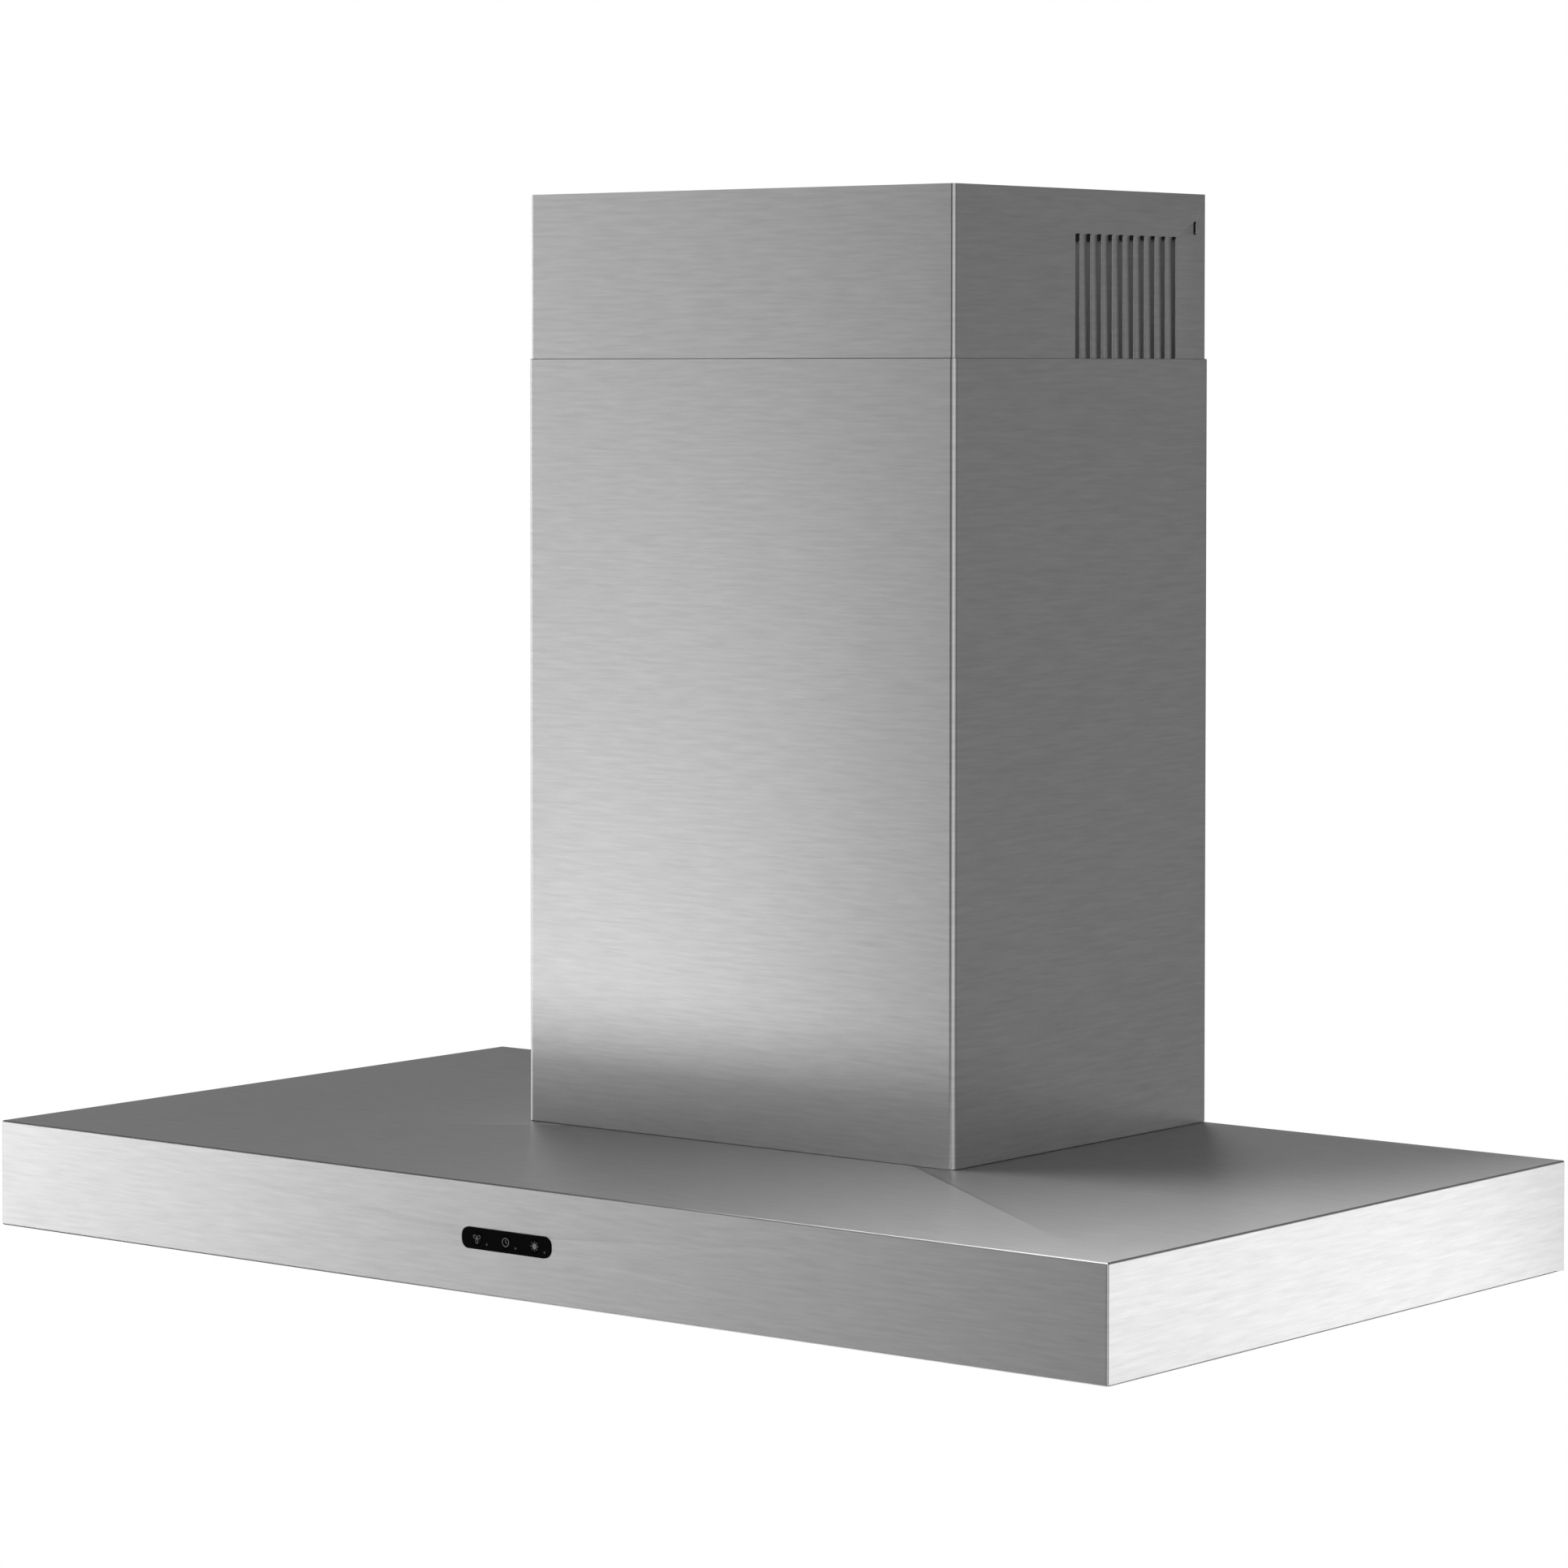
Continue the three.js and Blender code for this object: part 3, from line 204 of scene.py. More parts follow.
@dataclass(frozen=True)
class BrushedSteel(Finish):
    """Stainless sheet with a fine grain that runs level on walls and from side to side on flats."""

    scratch: tuple[float, float] = (25.0, 2200.0)  # fine lines to the metre: along the grain and across it
    streak: tuple[float, float] = (32.0, 420.0)  # broader streaks
    scratch_tone: float = 0.06
    streak_tone: float = 0.17
    cloud: float = 5.0  # broad clouds to the metre
    cloud_tone: float = 0.03
    anisotropy: float = 0.9
    uneven: float = 0.03  # how far the scratches change the roughness
    flat_rougher: float = 0.03  # how much coarser the flats are ground than the walls
    flat_slope: float = 0.7  # upward share of a normal, above which a face counts as a flat
    depth: float = 4e-6

    def draw(self, graph: Graph) -> None:
        """Draws scratches, streaks, clouds and fine bump, with highlights stretched across the grain.

        Args:
            graph: The material's graph.
        """
        point = graph.object_point()
        normal = graph.add("NewGeometry").outputs["Normal"]
        up = graph.math("ABSOLUTE", graph.add("SeparateXYZ", {0: normal}).outputs[2])
        flat = graph.math("GREATER_THAN", up, self.flat_slope)
        scratches = graph.noise(self._grained(graph, point, flat, self.scratch), 1.0, 4.0)
        streaks = graph.noise(self._grained(graph, point, flat, self.streak), 1.0, 3.0)
        clouds = graph.noise(point, self.cloud, 2.0)
        fine = graph.around(scratches, 1.0, self.scratch_tone)
        broad = graph.around(streaks, 1.0, self.streak_tone)
        grain = graph.math("MULTIPLY", fine, broad)
        tone = graph.math("MULTIPLY", grain, graph.around(clouds, 1.0, self.cloud_tone))
        coarser = graph.math("MULTIPLY", flat, self.flat_rougher)
        roughness = graph.math("ADD", graph.around(scratches, self.roughness, self.uneven), coarser)
        level = graph.add("VectorMath", {0: Axis.Z.value, 1: normal}, operation="CROSS_PRODUCT").outputs[0]
        # The small push along x gives flats a direction too, where the cross product is nothing.
        lengthwise = graph.add("VectorMath", {0: level, 1: (0.02, 0.0, 0.0)}, operation="ADD").outputs[0]
        across = graph.add("VectorMath", {0: normal, 1: lengthwise}, operation="CROSS_PRODUCT").outputs[0]
        graph.surface(
            {
                "Base Color": graph.tinted(self.color, tone),
                "Metallic": 1.0,
                "Roughness": roughness,
                "Anisotropic": self.anisotropy,
                "Tangent": across,
                "Normal": graph.bump(scratches, self.depth),
            }
        )

    @staticmethod
    def _grained(
        graph: Graph, point: bpy.types.NodeSocket, flat: bpy.types.NodeSocket, pitch: tuple[float, float]
    ) -> bpy.types.NodeSocket:
        """Stretches the pattern's coordinates along the grain.

        Args:
            graph: The material's graph.
            point: The shaded point.
            flat: 1 on faces that look up or down, and 0 on walls.
            pitch: Changes to the metre along the grain and across it.

        Returns:
            The stretched point.
        """
        along, across = pitch
        factors = graph.add(
            "Mix", {0: flat, 4: (along, along, across), 5: (along, across, along)}, data_type="VECTOR"
        ).outputs[1]
        return graph.add("VectorMath", {0: point, 1: factors}, operation="MULTIPLY").outputs[0]


@dataclass(frozen=True)
class GalvanisedSheet(Finish):
    """Zinc-coated sheet: a faint spangle of crystals, each a little lighter or darker."""

    spangle: float = 130.0  # crystals to the metre
    ragged: float = 90.0  # bends in the crystals' edges to the metre
    ragged_reach: float = 0.006
    uneven: float = 0.08  # how far the crystals differ in roughness

    def draw(self, graph: Graph) -> None:
        """Draws the crystals in colour and roughness, and a slow waviness in the bump.

        Args:
            graph: The material's graph.
        """
        point = graph.object_point()
        wander = graph.add("TexNoise", {"Vector": point, "Scale": self.ragged}).outputs[1]
        push = graph.scaled(wander, (self.ragged_reach,) * 3)
        bent = graph.add("VectorMath", {0: point, 1: push}, operation="ADD").outputs[0]
        crystal = graph.add("TexVoronoi", {"Vector": bent, "Scale": self.spangle}).outputs["Color"]
        shade = graph.add("SeparateXYZ", {0: crystal}).outputs[0]
        wear = graph.noise(point, 14.0, 4.0)
        tone = graph.math("MULTIPLY", graph.spread(shade, 0.88, 1.08), graph.spread(wear, 0.9, 1.05))
        crystals = graph.around(shade, self.roughness, self.uneven)
        roughness = graph.math("ADD", crystals, graph.spread(wear, -0.05, 0.05))
        graph.surface(
            {
                "Base Color": graph.tinted(self.color, tone),
                "Metallic": 1.0,
                "Roughness": roughness,
                "Normal": graph.bump(wear, 0.0004, 0.25),
            }
        )


@dataclass(frozen=True)
class SatinMetal(Finish):
    """Plain metal with a fine satin tooth: aluminium, plated steel or bronze."""

    tooth: float = 1400.0  # grains to the metre
    rub: float = 40.0  # rubbed patches to the metre
    metallic: float = 1.0

    def draw(self, graph: Graph) -> None:
        """Draws a fine tooth and slightly rubbed patches.

        Args:
            graph: The material's graph.
        """
        point = graph.object_point()
        tooth = graph.noise(point, self.tooth, 2.0)
        rubbed = graph.noise(point, self.rub, 3.0)
        tone = graph.math("MULTIPLY", graph.spread(tooth, 0.95, 1.04), graph.spread(rubbed, 0.94, 1.05))
        graph.surface(
            {
                "Base Color": graph.tinted(self.color, tone),
                "Metallic": self.metallic,
                "Roughness": graph.spread(rubbed, self.roughness - 0.06, self.roughness + 0.08),
                "Normal": graph.bump(tooth, 1e-5, 0.4),
            }
        )


@dataclass(frozen=True)
class MouldedPlastic(Finish):
    """Injection-moulded plastic with a spark-eroded texture."""

    texture: float = 1500.0  # pits to the metre
    depth: float = 2.5e-5
    flow: float = 25.0  # flow marks to the metre
    subsurface: float = 0.0

    def draw(self, graph: Graph) -> None:
        """Draws the moulded texture and faint flow marks.

        Args:
            graph: The material's graph.
        """
        point = graph.object_point()
        texture = graph.noise(point, self.texture, 2.0)
        flow = graph.noise(point, self.flow, 3.0)
        graph.surface(
            {
                "Base Color": graph.tinted(self.color, graph.spread(flow, 0.88, 1.1)),
                "Roughness": graph.around(flow, self.roughness, 0.06),
                "Subsurface Weight": self.subsurface,
                "Normal": graph.bump(texture, self.depth, 0.5),
            }
        )


@dataclass(frozen=True)
class GlossPlastic(Finish):
    """Polished plastic with the slight ripple that polishing leaves."""

    haze: float = 160.0  # hazy spots to the metre
    ripple: float = 300.0  # ripples to the metre
    specular: float = 0.02

    def draw(self, graph: Graph) -> None:
        """Draws a smooth gloss with faint handling haze.

        Args:
            graph: The material's graph.
        """
        point = graph.object_point()
        haze = graph.noise(point, self.haze, 3.0)
        graph.surface(
            {
                "Base Color": graph.tinted(self.color, graph.spread(haze, 0.85, 1.15)),
                "Roughness": graph.spread(haze, self.roughness, self.roughness + 0.05),
                "Specular IOR Level": self.specular,
                "Normal": graph.bump(graph.noise(point, self.ripple, 1.0), 4e-6, 0.3),
            }
        )


@dataclass(frozen=True)
class FrostedGlass(Finish):
    """Etched glass: white in the mass, with a soft sheen."""

    tooth: float = 2600.0  # etched pits to the metre
    subsurface: float = 0.25

    def draw(self, graph: Graph) -> None:
        """Draws the etched tooth over a translucent white body.

        Args:
            graph: The material's graph.
        """
        point = graph.object_point()
        tooth = graph.noise(point, self.tooth, 2.0)
        graph.surface(
            {
                "Base Color": graph.tinted(self.color, graph.spread(graph.noise(point, 60.0), 0.96, 1.02)),
                "Roughness": graph.around(tooth, self.roughness, 0.04),
                "IOR": 1.5,
                "Subsurface Weight": self.subsurface,
                "Normal": graph.bump(tooth, 1.5e-5, 0.4),
            }
        )


@dataclass(frozen=True)
class PrintedBoard(Finish):
    """Green solder mask with copper tracks showing through as lighter lines."""

    tracks: float = 60.0  # rows of tracks to the metre
    track_width: float = 0.03  # as a share of a row
    track_tone: float = 1.9

    def draw(self, graph: Graph) -> None:
        """Draws tracks as bands of a brick pattern, and the mask's gloss.

        Args:
            graph: The material's graph.
        """
        point = graph.object_point()
        bands = {"Vector": point, "Scale": self.tracks, "Mortar Size": self.track_width}
        tracks = graph.add("TexBrick", bands).outputs["Fac"]
        tone = graph.spread(tracks, 1.0, self.track_tone)
        graph.surface(
            {
                "Base Color": graph.tinted(self.color, tone),
                "Roughness": graph.spread(graph.noise(point, 200.0), self.roughness, self.roughness + 0.1),
                "Normal": graph.bump(tracks, 3e-5, 0.6),
            }
        )


@dataclass(frozen=True)
class StagePaint(Finish):
    """Matt paint for the studio's boards, which are seen only from their front."""

    def draw(self, graph: Graph) -> None:
        """Draws the paint's slight mottling, and nothing on the board's back.

        Args:
            graph: The material's graph.
        """
        point = graph.object_point()
        tone = graph.spread(graph.noise(point, 3.0), 0.98, 1.0)
        paint = graph.add(
            "BsdfPrincipled", {"Base Color": graph.tinted(self.color, tone), "Roughness": self.roughness}
        )
        clear = graph.add("BsdfTransparent")
        behind = graph.add("NewGeometry").outputs["Backfacing"]
        mixed = graph.add("MixShader", {0: behind, 1: paint.outputs[0], 2: clear.outputs[0]})
        graph.add("OutputMaterial", {"Surface": mixed.outputs[0]})


CANOPY_STEEL = BrushedSteel("canopy brushed steel", (0.64, 0.64, 0.64), 0.3)
COVER_STEEL = BrushedSteel("chimney brushed steel", (0.63, 0.63, 0.63), 0.3)
UNDERSIDE_STEEL = BrushedSteel("underside brushed steel", (0.6, 0.6, 0.605), 0.3)
ZINC = GalvanisedSheet("galvanised sheet", (0.52, 0.54, 0.56), 0.42)
ALUMINIUM = SatinMetal("satin aluminium", (0.72, 0.73, 0.74), 0.32)
MESH_ALUMINIUM = SatinMetal("expanded aluminium", (0.66, 0.67, 0.68), 0.34, tooth=2200.0)
CAST_ALUMINIUM = SatinMetal("cast aluminium", (0.56, 0.57, 0.58), 0.5, tooth=900.0)
NICKEL = SatinMetal("satin nickel", (0.66, 0.65, 0.63), 0.24)
PLATED = SatinMetal("zinc-plated steel", (0.6, 0.6, 0.57), 0.3)
BRONZE = SatinMetal("sintered bronze", (0.55, 0.36, 0.16), 0.45, tooth=3000.0)
MOTOR_PAINT = SatinMetal("motor enamel", (0.08, 0.085, 0.09), 0.4, tooth=700.0, metallic=0.0)
# The bracket is near-black to paint the shade seen through the fixing slot and at the top ends of the vent
# slots.
BRACKET_PAINTED_SHADE = SatinMetal("bracket painted shade", (0.02, 0.02, 0.021), 0.55, tooth=900.0, metallic=0.0)
GLOSS_BLACK = GlossPlastic("gloss black plastic", (0.002, 0.002, 0.002), 0.06)
MATT_BLACK = MouldedPlastic("matt black plastic", (0.018, 0.018, 0.019), 0.5)
GREY_PLASTIC = MouldedPlastic("grey plastic", (0.11, 0.115, 0.12), 0.5)
PALE_PLASTIC = MouldedPlastic("pale plastic", (0.6, 0.6, 0.57), 0.45, subsurface=0.05)
INK = MouldedPlastic("pale printing ink", (0.3, 0.3, 0.3), 0.5, texture=4000.0, depth=2e-6)
DIM_INK = MouldedPlastic("dim indicator window", (0.05, 0.05, 0.055), 0.3, texture=4000.0, depth=2e-6)
LENS_GLASS = FrostedGlass("frosted lens", (0.86, 0.86, 0.83), 0.35)
BOARD = PrintedBoard("circuit board", (0.012, 0.1, 0.04), 0.3)
FLOOR_PAINT = StagePaint("floor paint", (0.86, 0.86, 0.86), 0.9)
WALL_PAINT = StagePaint("wall board paint", (0.5, 0.5, 0.5), 0.9)


# ---------------------------------------------------------------- mesh tools


def as_piece(
    bm: bmesh.types.BMesh,
    name: str,
    finish: Finish,
    body: str,
    stands_for: Sequence[str] = (),
    smooth_deg: float = 35.0,
    outward: bool = True,
) -> bpy.types.Object:
    """Turns a bmesh into a finished piece that rides on a body.

    Args:
        bm: The mesh, in the frame's coordinates. It is freed.
        name: The piece's name.
        finish: The finish on all of its faces.
        body: The body that it moves with.
        stands_for: CAD nodes that it replaces.
        smooth_deg: Edges sharper than this stay sharp.
        outward: Whether normals are worked out again.

    Returns:
        The piece's object.
    """
    if outward:
        bmesh.ops.recalc_face_normals(bm, faces=bm.faces)
    mesh = bpy.data.meshes.new(name)
    bm.to_mesh(mesh)
    bm.free()
    mesh.shade_smooth()
    mesh.set_sharp_from_angle(angle=math.radians(smooth_deg))
    mesh.materials.append(finish.material())
    piece = bpy.data.objects.new(name, mesh)
    bpy.context.scene.collection.objects.link(piece)
    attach(piece, body)
    if stands_for:
        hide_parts(*stands_for)
    LOG.info("%s: %d faces on %s", name, len(mesh.polygons), body)
    return piece


def thicken(piece: bpy.types.Object, sheet: float, offset: float = -1.0) -> None:
    """Gives a folded surface its sheet thickness.

    Args:
        piece: The piece, with faces that point outwards.
        sheet: Thickness in metres.
        offset: -1 grows the wall inwards from the surface.
    """
    solid = piece.modifiers.new("sheet", "SOLIDIFY")
    solid.thickness = sheet
    solid.offset = offset
    solid.use_even_offset = True
    even_normals(piece)


def even_normals(piece: bpy.types.Object) -> None:
    """Shades each large flat face flat and the narrow faces between them round."""
    weighted = piece.modifiers.new("normals", "WEIGHTED_NORMAL")
    weighted.keep_sharp = True


def round_edges(piece: bpy.types.Object, width: float, segments: int = 2, angle_deg: float = 40.0) -> None:
    """Rounds the sharp edges of a piece.

    Args:
        piece: The piece.
        width: Width of the rounding in metres.
        segments: How many faces make it.
        angle_deg: Edges flatter than this stay as they are.
    """
    bevel = piece.modifiers.new("edges", "BEVEL")
    bevel.width = width
    bevel.segments = segments
    bevel.limit_method = "ANGLE"
    bevel.angle_limit = math.radians(angle_deg)
    bevel.miter_outer = "MITER_ARC"
    even_normals(piece)


def merged_copy(node: str) -> bmesh.types.BMesh:
    """Copies a CAD node, with its loose triangles joined into flat faces.

    Args:
        node: The CAD node's name.

    Returns:
        The copy.
    """
    bm = bmesh.new()
    bm.from_mesh(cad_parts[node].data)
    bmesh.ops.remove_doubles(bm, verts=bm.verts, dist=2e-6)
    bmesh.ops.dissolve_limit(bm, angle_limit=math.radians(0.3), verts=bm.verts, edges=bm.edges)
    return bm


def ring_loop(bm: bmesh.types.BMesh, matrix: Matrix, radius: float, count: int) -> list[bmesh.types.BMVert]:
    """Adds an open circle of vertices and edges and returns its vertices."""
    return bmesh.ops.create_circle(bm, cap_ends=False, segments=count, radius=radius, matrix=matrix)["verts"]


def verts_in(geom: Iterable[object]) -> list[bmesh.types.BMVert]:
    """The vertices among an operator's results."""
    return [item for item in geom if isinstance(item, bmesh.types.BMVert)]


def edges_between(bm: bmesh.types.BMesh, verts: Iterable[bmesh.types.BMVert]) -> list[bmesh.types.BMEdge]:
    """The edges whose two ends are both among some vertices."""
    inside = set(verts)
    return [edge for edge in bm.edges if edge.verts[0] in inside and edge.verts[1] in inside]


def rounded_loop(
    bm: bmesh.types.BMesh, matrix: Matrix, width: float, height: float, radius: float, corner_steps: int = 5
) -> list[bmesh.types.BMEdge]:
    """Adds a rectangle with round corners, drawn in the matrix's own x and y.

    Args:
        bm: The mesh to add to.
        matrix: Places the outline.
        width: Size along the matrix's x.
        height: Size along the matrix's y.
        radius: Corner radius.
        corner_steps: Vertices on each corner.

    Returns:
        The outline's edges.
    """
    half_step = math.pi / (4 * corner_steps)
    turn = Matrix.Rotation(half_step, 4, "Z")
    verts = ring_loop(bm, turn, radius, 4 * corner_steps)
    shift_x = width / 2 - radius
    shift_y = height / 2 - radius
    for vert in verts:
        vert.co.x += math.copysign(shift_x, vert.co.x)
        vert.co.y += math.copysign(shift_y, vert.co.y)
    bmesh.ops.transform(bm, matrix=matrix, verts=verts)
    return edges_between(bm, verts)


def pierce(bm: bmesh.types.BMesh, face: bmesh.types.BMFace, loops: Iterable[bmesh.types.BMEdge]) -> None:
    """Replaces a flat face by the same face with holes.

    Args:
        bm: The mesh.
        face: The flat face.
        loops: Edges of the holes' outlines, in the face's plane.
    """
    normal = face.normal.copy()
    rim = list(face.edges)
    bmesh.ops.delete(bm, geom=[face], context="FACES_ONLY")
    bmesh.ops.triangle_fill(bm, use_beauty=True, use_dissolve=False, edges=rim + list(loops), normal=normal)


def facing(origin: Point, normal: Axis) -> Matrix:
    """A matrix whose x and y lie in a plane across an axis, with x and z or y upright.

    Args:
        origin: The matrix's origin.
        normal: The axis that the plane lies across.

    Returns:
        For Y, its x is the frame's x and its y is the frame's z. For X, its x is the frame's y and its y
        is the frame's z. For Z, it isn't turned.
    """
    columns = {
        Axis.X: (Axis.Y.vector, Axis.Z.vector, Axis.X.vector),
        Axis.Y: (Axis.X.vector, Axis.Z.vector, -Axis.Y.vector),
        Axis.Z: (Axis.X.vector, Axis.Y.vector, Axis.Z.vector),
    }[normal]
    turn = Matrix(columns).transposed().to_4x4()
    return Matrix.Translation(Vector(origin)) @ turn


def turned(
    profile: Sequence[tuple[float, float]], origin: Point, axis: Axis, steps: int = 48
) -> bmesh.types.BMesh:
    """A solid of revolution.

    Args:
        profile: (radius, distance along the axis) points. It starts and ends on the axis, or is a closed
            ring whose last point joins its first.
        origin: A point on the axis, from which distances count.
        axis: The axis.
        steps: Faces round the turn.

    Returns:
        The closed solid.
    """
    bm = bmesh.new()
    side = Axis.Z.vector if axis is not Axis.Z else Axis.X.vector
    base = Vector(origin)
    verts = [bm.verts.new(base + side * radius + axis.vector * along) for radius, along in profile]
    pairs = list(zip(verts, verts[1:]))
    if profile[0][0] > 0:
        pairs.append((verts[-1], verts[0]))
    edges = [bm.edges.new(pair) for pair in pairs]
    bmesh.ops.spin(
        bm, geom=verts + edges, cent=base, axis=axis.vector, angle=2 * math.pi, steps=steps, use_merge=True
    )
    bmesh.ops.remove_doubles(bm, verts=bm.verts, dist=1e-7)
    bmesh.ops.recalc_face_normals(bm, faces=bm.faces)
    return bm


def add_box(bm: bmesh.types.BMesh, low: Point, high: Point) -> list[bmesh.types.BMVert]:
    """Adds a box.

    Args:
        bm: The mesh to add to.
        low: The box's lowest corner.
        high: The box's highest corner.

    Returns:
        The box's vertices.
    """
    low_v, high_v = Vector(low), Vector(high)
    size = high_v - low_v
    place = Matrix.Translation((low_v + high_v) / 2) @ Matrix.Diagonal((*size, 1.0))
    return bmesh.ops.create_cube(bm, size=1.0, matrix=place)["verts"]


def edges_where(bm: bmesh.types.BMesh, test: Callable[[Vector, Vector], bool]) -> list[bmesh.types.BMEdge]:
    """The edges whose two ends pass a test."""
    return [edge for edge in bm.edges if test(edge.verts[0].co, edge.verts[1].co)]


def bend(bm: bmesh.types.BMesh, edges: list[bmesh.types.BMEdge], radius: float, segments: int) -> None:
    """Rounds edges as a press brake folds them."""
    bmesh.ops.bevel(
        bm, geom=edges, affect="EDGES", offset=radius, segments=segments, profile=0.5, material=-1,
        offset_type="OFFSET",
    )


def carried(
    node: str, finish: Finish, body: str, width: float = 0.4 * MM, segments: int = 2
) -> bpy.types.Object:
    """A CAD node with its edges eased, in its real finish.

    Args:
        node: The CAD node that the piece stands for.
        finish: Its finish.
        body: The body that it moves with.
        width: How far its edges are eased, in metres.
        segments: Faces across each eased edge.

    Returns:
        The piece.
    """
    piece = as_piece(merged_copy(node), node + "_finished", finish, body, (node,), outward=False)
    round_edges(piece, width, segments)
    return piece


# ---------------------------------------------------------------- canopy


@dataclass
class Canopy:
    """The box below the chimney: steel shell, rear panel and the panel seen from below."""

    sheet: float = 1.0 * MM
    fold: float = 1.3 * MM
    lip: float = 12.0 * MM
    lip_gap: float = 0.3 * MM
    fascia_hole: tuple[float, float, float] = (70.0 * MM, 11.0 * MM, 4.2 * MM)
    mouth_flange: float = 11.0 * MM  # what the blower enclosure stands on
    mouth_corner: float = 3.0 * MM

    def build(self) -> None:
        """Builds the shell, the rear panel and the underside panel."""
        self._shell()
        carried("canopy_back_panel", ZINC, "hood", 0.3 * MM)
        carried("underside_panel", UNDERSIDE_STEEL, "hood", 0.5 * MM, 3)

    def _shell(self) -> None:
        """Folds the shell from five sides of a box, with its rim lip and its two openings."""
        low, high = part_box("canopy_shell")
        bm = bmesh.new()
        add_box(bm, low, high)
        bm.faces.ensure_lookup_table()
        dropped = [f for f in bm.faces if f.normal.y > 0.5 or f.normal.z < -0.5]
        bmesh.ops.delete(bm, geom=dropped, context="FACES_ONLY")
        bmesh.ops.delete(bm, geom=[e for e in bm.edges if not e.link_faces], context="EDGES")
        self._lip(bm, low, high)
        bm.normal_update()
        folds = [e for e in bm.edges if len(e.link_faces) == 2 and e.calc_face_angle(0.0) > 0.5]
        bend(bm, folds, self.fold, 4)
        bm.normal_update()
        front = max((f for f in bm.faces if f.normal.y < -0.99), key=lambda f: f.calc_area())
        middle = facing((0, low.y, (low.z + high.z) / 2), Axis.Y)
        hole = rounded_loop(bm, middle, *self.fascia_hole, corner_steps=6)
        pierce(bm, front, hole)
        box_low, box_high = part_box("blower_enclosure")
        width = box_high.x - box_low.x - 2 * self.mouth_flange
        depth = box_high.y - box_low.y - 2 * self.mouth_flange
        centre = (0, (box_low.y + box_high.y) / 2, high.z)
        bm.normal_update()
        top = max((f for f in bm.faces if f.normal.z > 0.99), key=lambda f: f.calc_area())
        pierce(bm, top, rounded_loop(bm, facing(centre, Axis.Z), width, depth, self.mouth_corner))
        piece = as_piece(bm, "canopy_shell_folded", CANOPY_STEEL, "hood", ("canopy_shell",))
        if max(piece.data.polygons, key=lambda p: p.center.z).normal.z < 0:
            piece.data.flip_normals()
        thicken(piece, self.sheet)

    def _lip(self, bm: bmesh.types.BMesh, low: Vector, high: Vector) -> None:
        """Folds the lip inwards along the front and side rims, and stops it short of the rear panel's.

        Args:
            bm: The open box.
            low: The shell's lowest corner.
            high: The shell's highest corner.
        """
        sides = edges_where(bm, lambda a, b: max(a.z, b.z) < low.z + MM and abs(a.x - b.x) < MM)
        bmesh.ops.bisect_edges(bm, edges=sides, cuts=1)
        middle = (low.y + high.y) / 2
        for vert in (v for v in bm.verts if abs(v.co.y - middle) < MM):
            vert.co.y = high.y - self.lip - self.lip_gap
        rim = edges_where(bm, lambda a, b: max(a.z, b.z) < low.z + MM and max(a.y, b.y) < high.y - MM)
        made = bmesh.ops.extrude_edge_only(bm, edges=rim)["geom"]
        for vert in verts_in(made):
            vert.co.x -= math.copysign(self.lip, vert.co.x)
            if vert.co.y < low.y + MM:
                vert.co.y += self.lip


# ---------------------------------------------------------------- chimney


@dataclass
class ChimneyCover:
    """A folded cover: front, two sides with bent corners, and a narrow flange at each rear edge."""

    node: str
    body: str
    front_radius: float
    rear_radius: float = 1.2 * MM
    sheet: float = 0.8 * MM
    flange: float = 12.0 * MM
    rim: float = 0.0

    def build(self) -> bpy.types.Object:
        """Folds the cover, cuts its openings and gives it its thickness.

        Returns:
            The cover.
        """
        low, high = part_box(self.node)
        bm = bmesh.new()
        plan = (
            (low.x + self.flange, high.y), (low.x, high.y), (low.x, low.y),
            (high.x, low.y), (high.x, high.y), (high.x - self.flange, high.y),
        )
        verts = [bm.verts.new((x, y, low.z)) for x, y in plan]
        edges = [bm.edges.new(pair) for pair in zip(verts, verts[1:])]
        made = bmesh.ops.extrude_edge_only(bm, edges=edges)["geom"]
        bmesh.ops.translate(bm, verts=verts_in(made), vec=(0, 0, high.z - low.z))
        for radius, segments, y in ((self.front_radius, 8, low.y), (self.rear_radius, 3, high.y)):
            corners = edges_where(
                bm,
                lambda a, b: abs(a.z - b.z) > MM and abs(a.y - y) < NEAR and abs(abs(a.x) - high.x) < NEAR,
            )
            bend(bm, corners, radius, segments)
        bmesh.ops.recalc_face_normals(bm, faces=bm.faces)
        self.cut(bm, low, high)
        piece = as_piece(bm, self.node + "_folded", COVER_STEEL, self.body, (self.node,))
        if min(piece.data.polygons, key=lambda p: p.center.y).normal.y > 0:
            piece.data.flip_normals()
        thicken(piece, self.sheet)
        if self.rim:
            piece.modifiers.remove(piece.modifiers["normals"])
            round_edges(piece, self.rim, 3, 60.0)
        return piece

    def cut(self, bm: bmesh.types.BMesh, low: Vector, high: Vector) -> None:
        """Cuts openings in the folded sheet. A plain cover has none.

        Args:
            bm: The folded sheet.
            low: The cover's lowest corner.
            high: The cover's highest corner.
        """


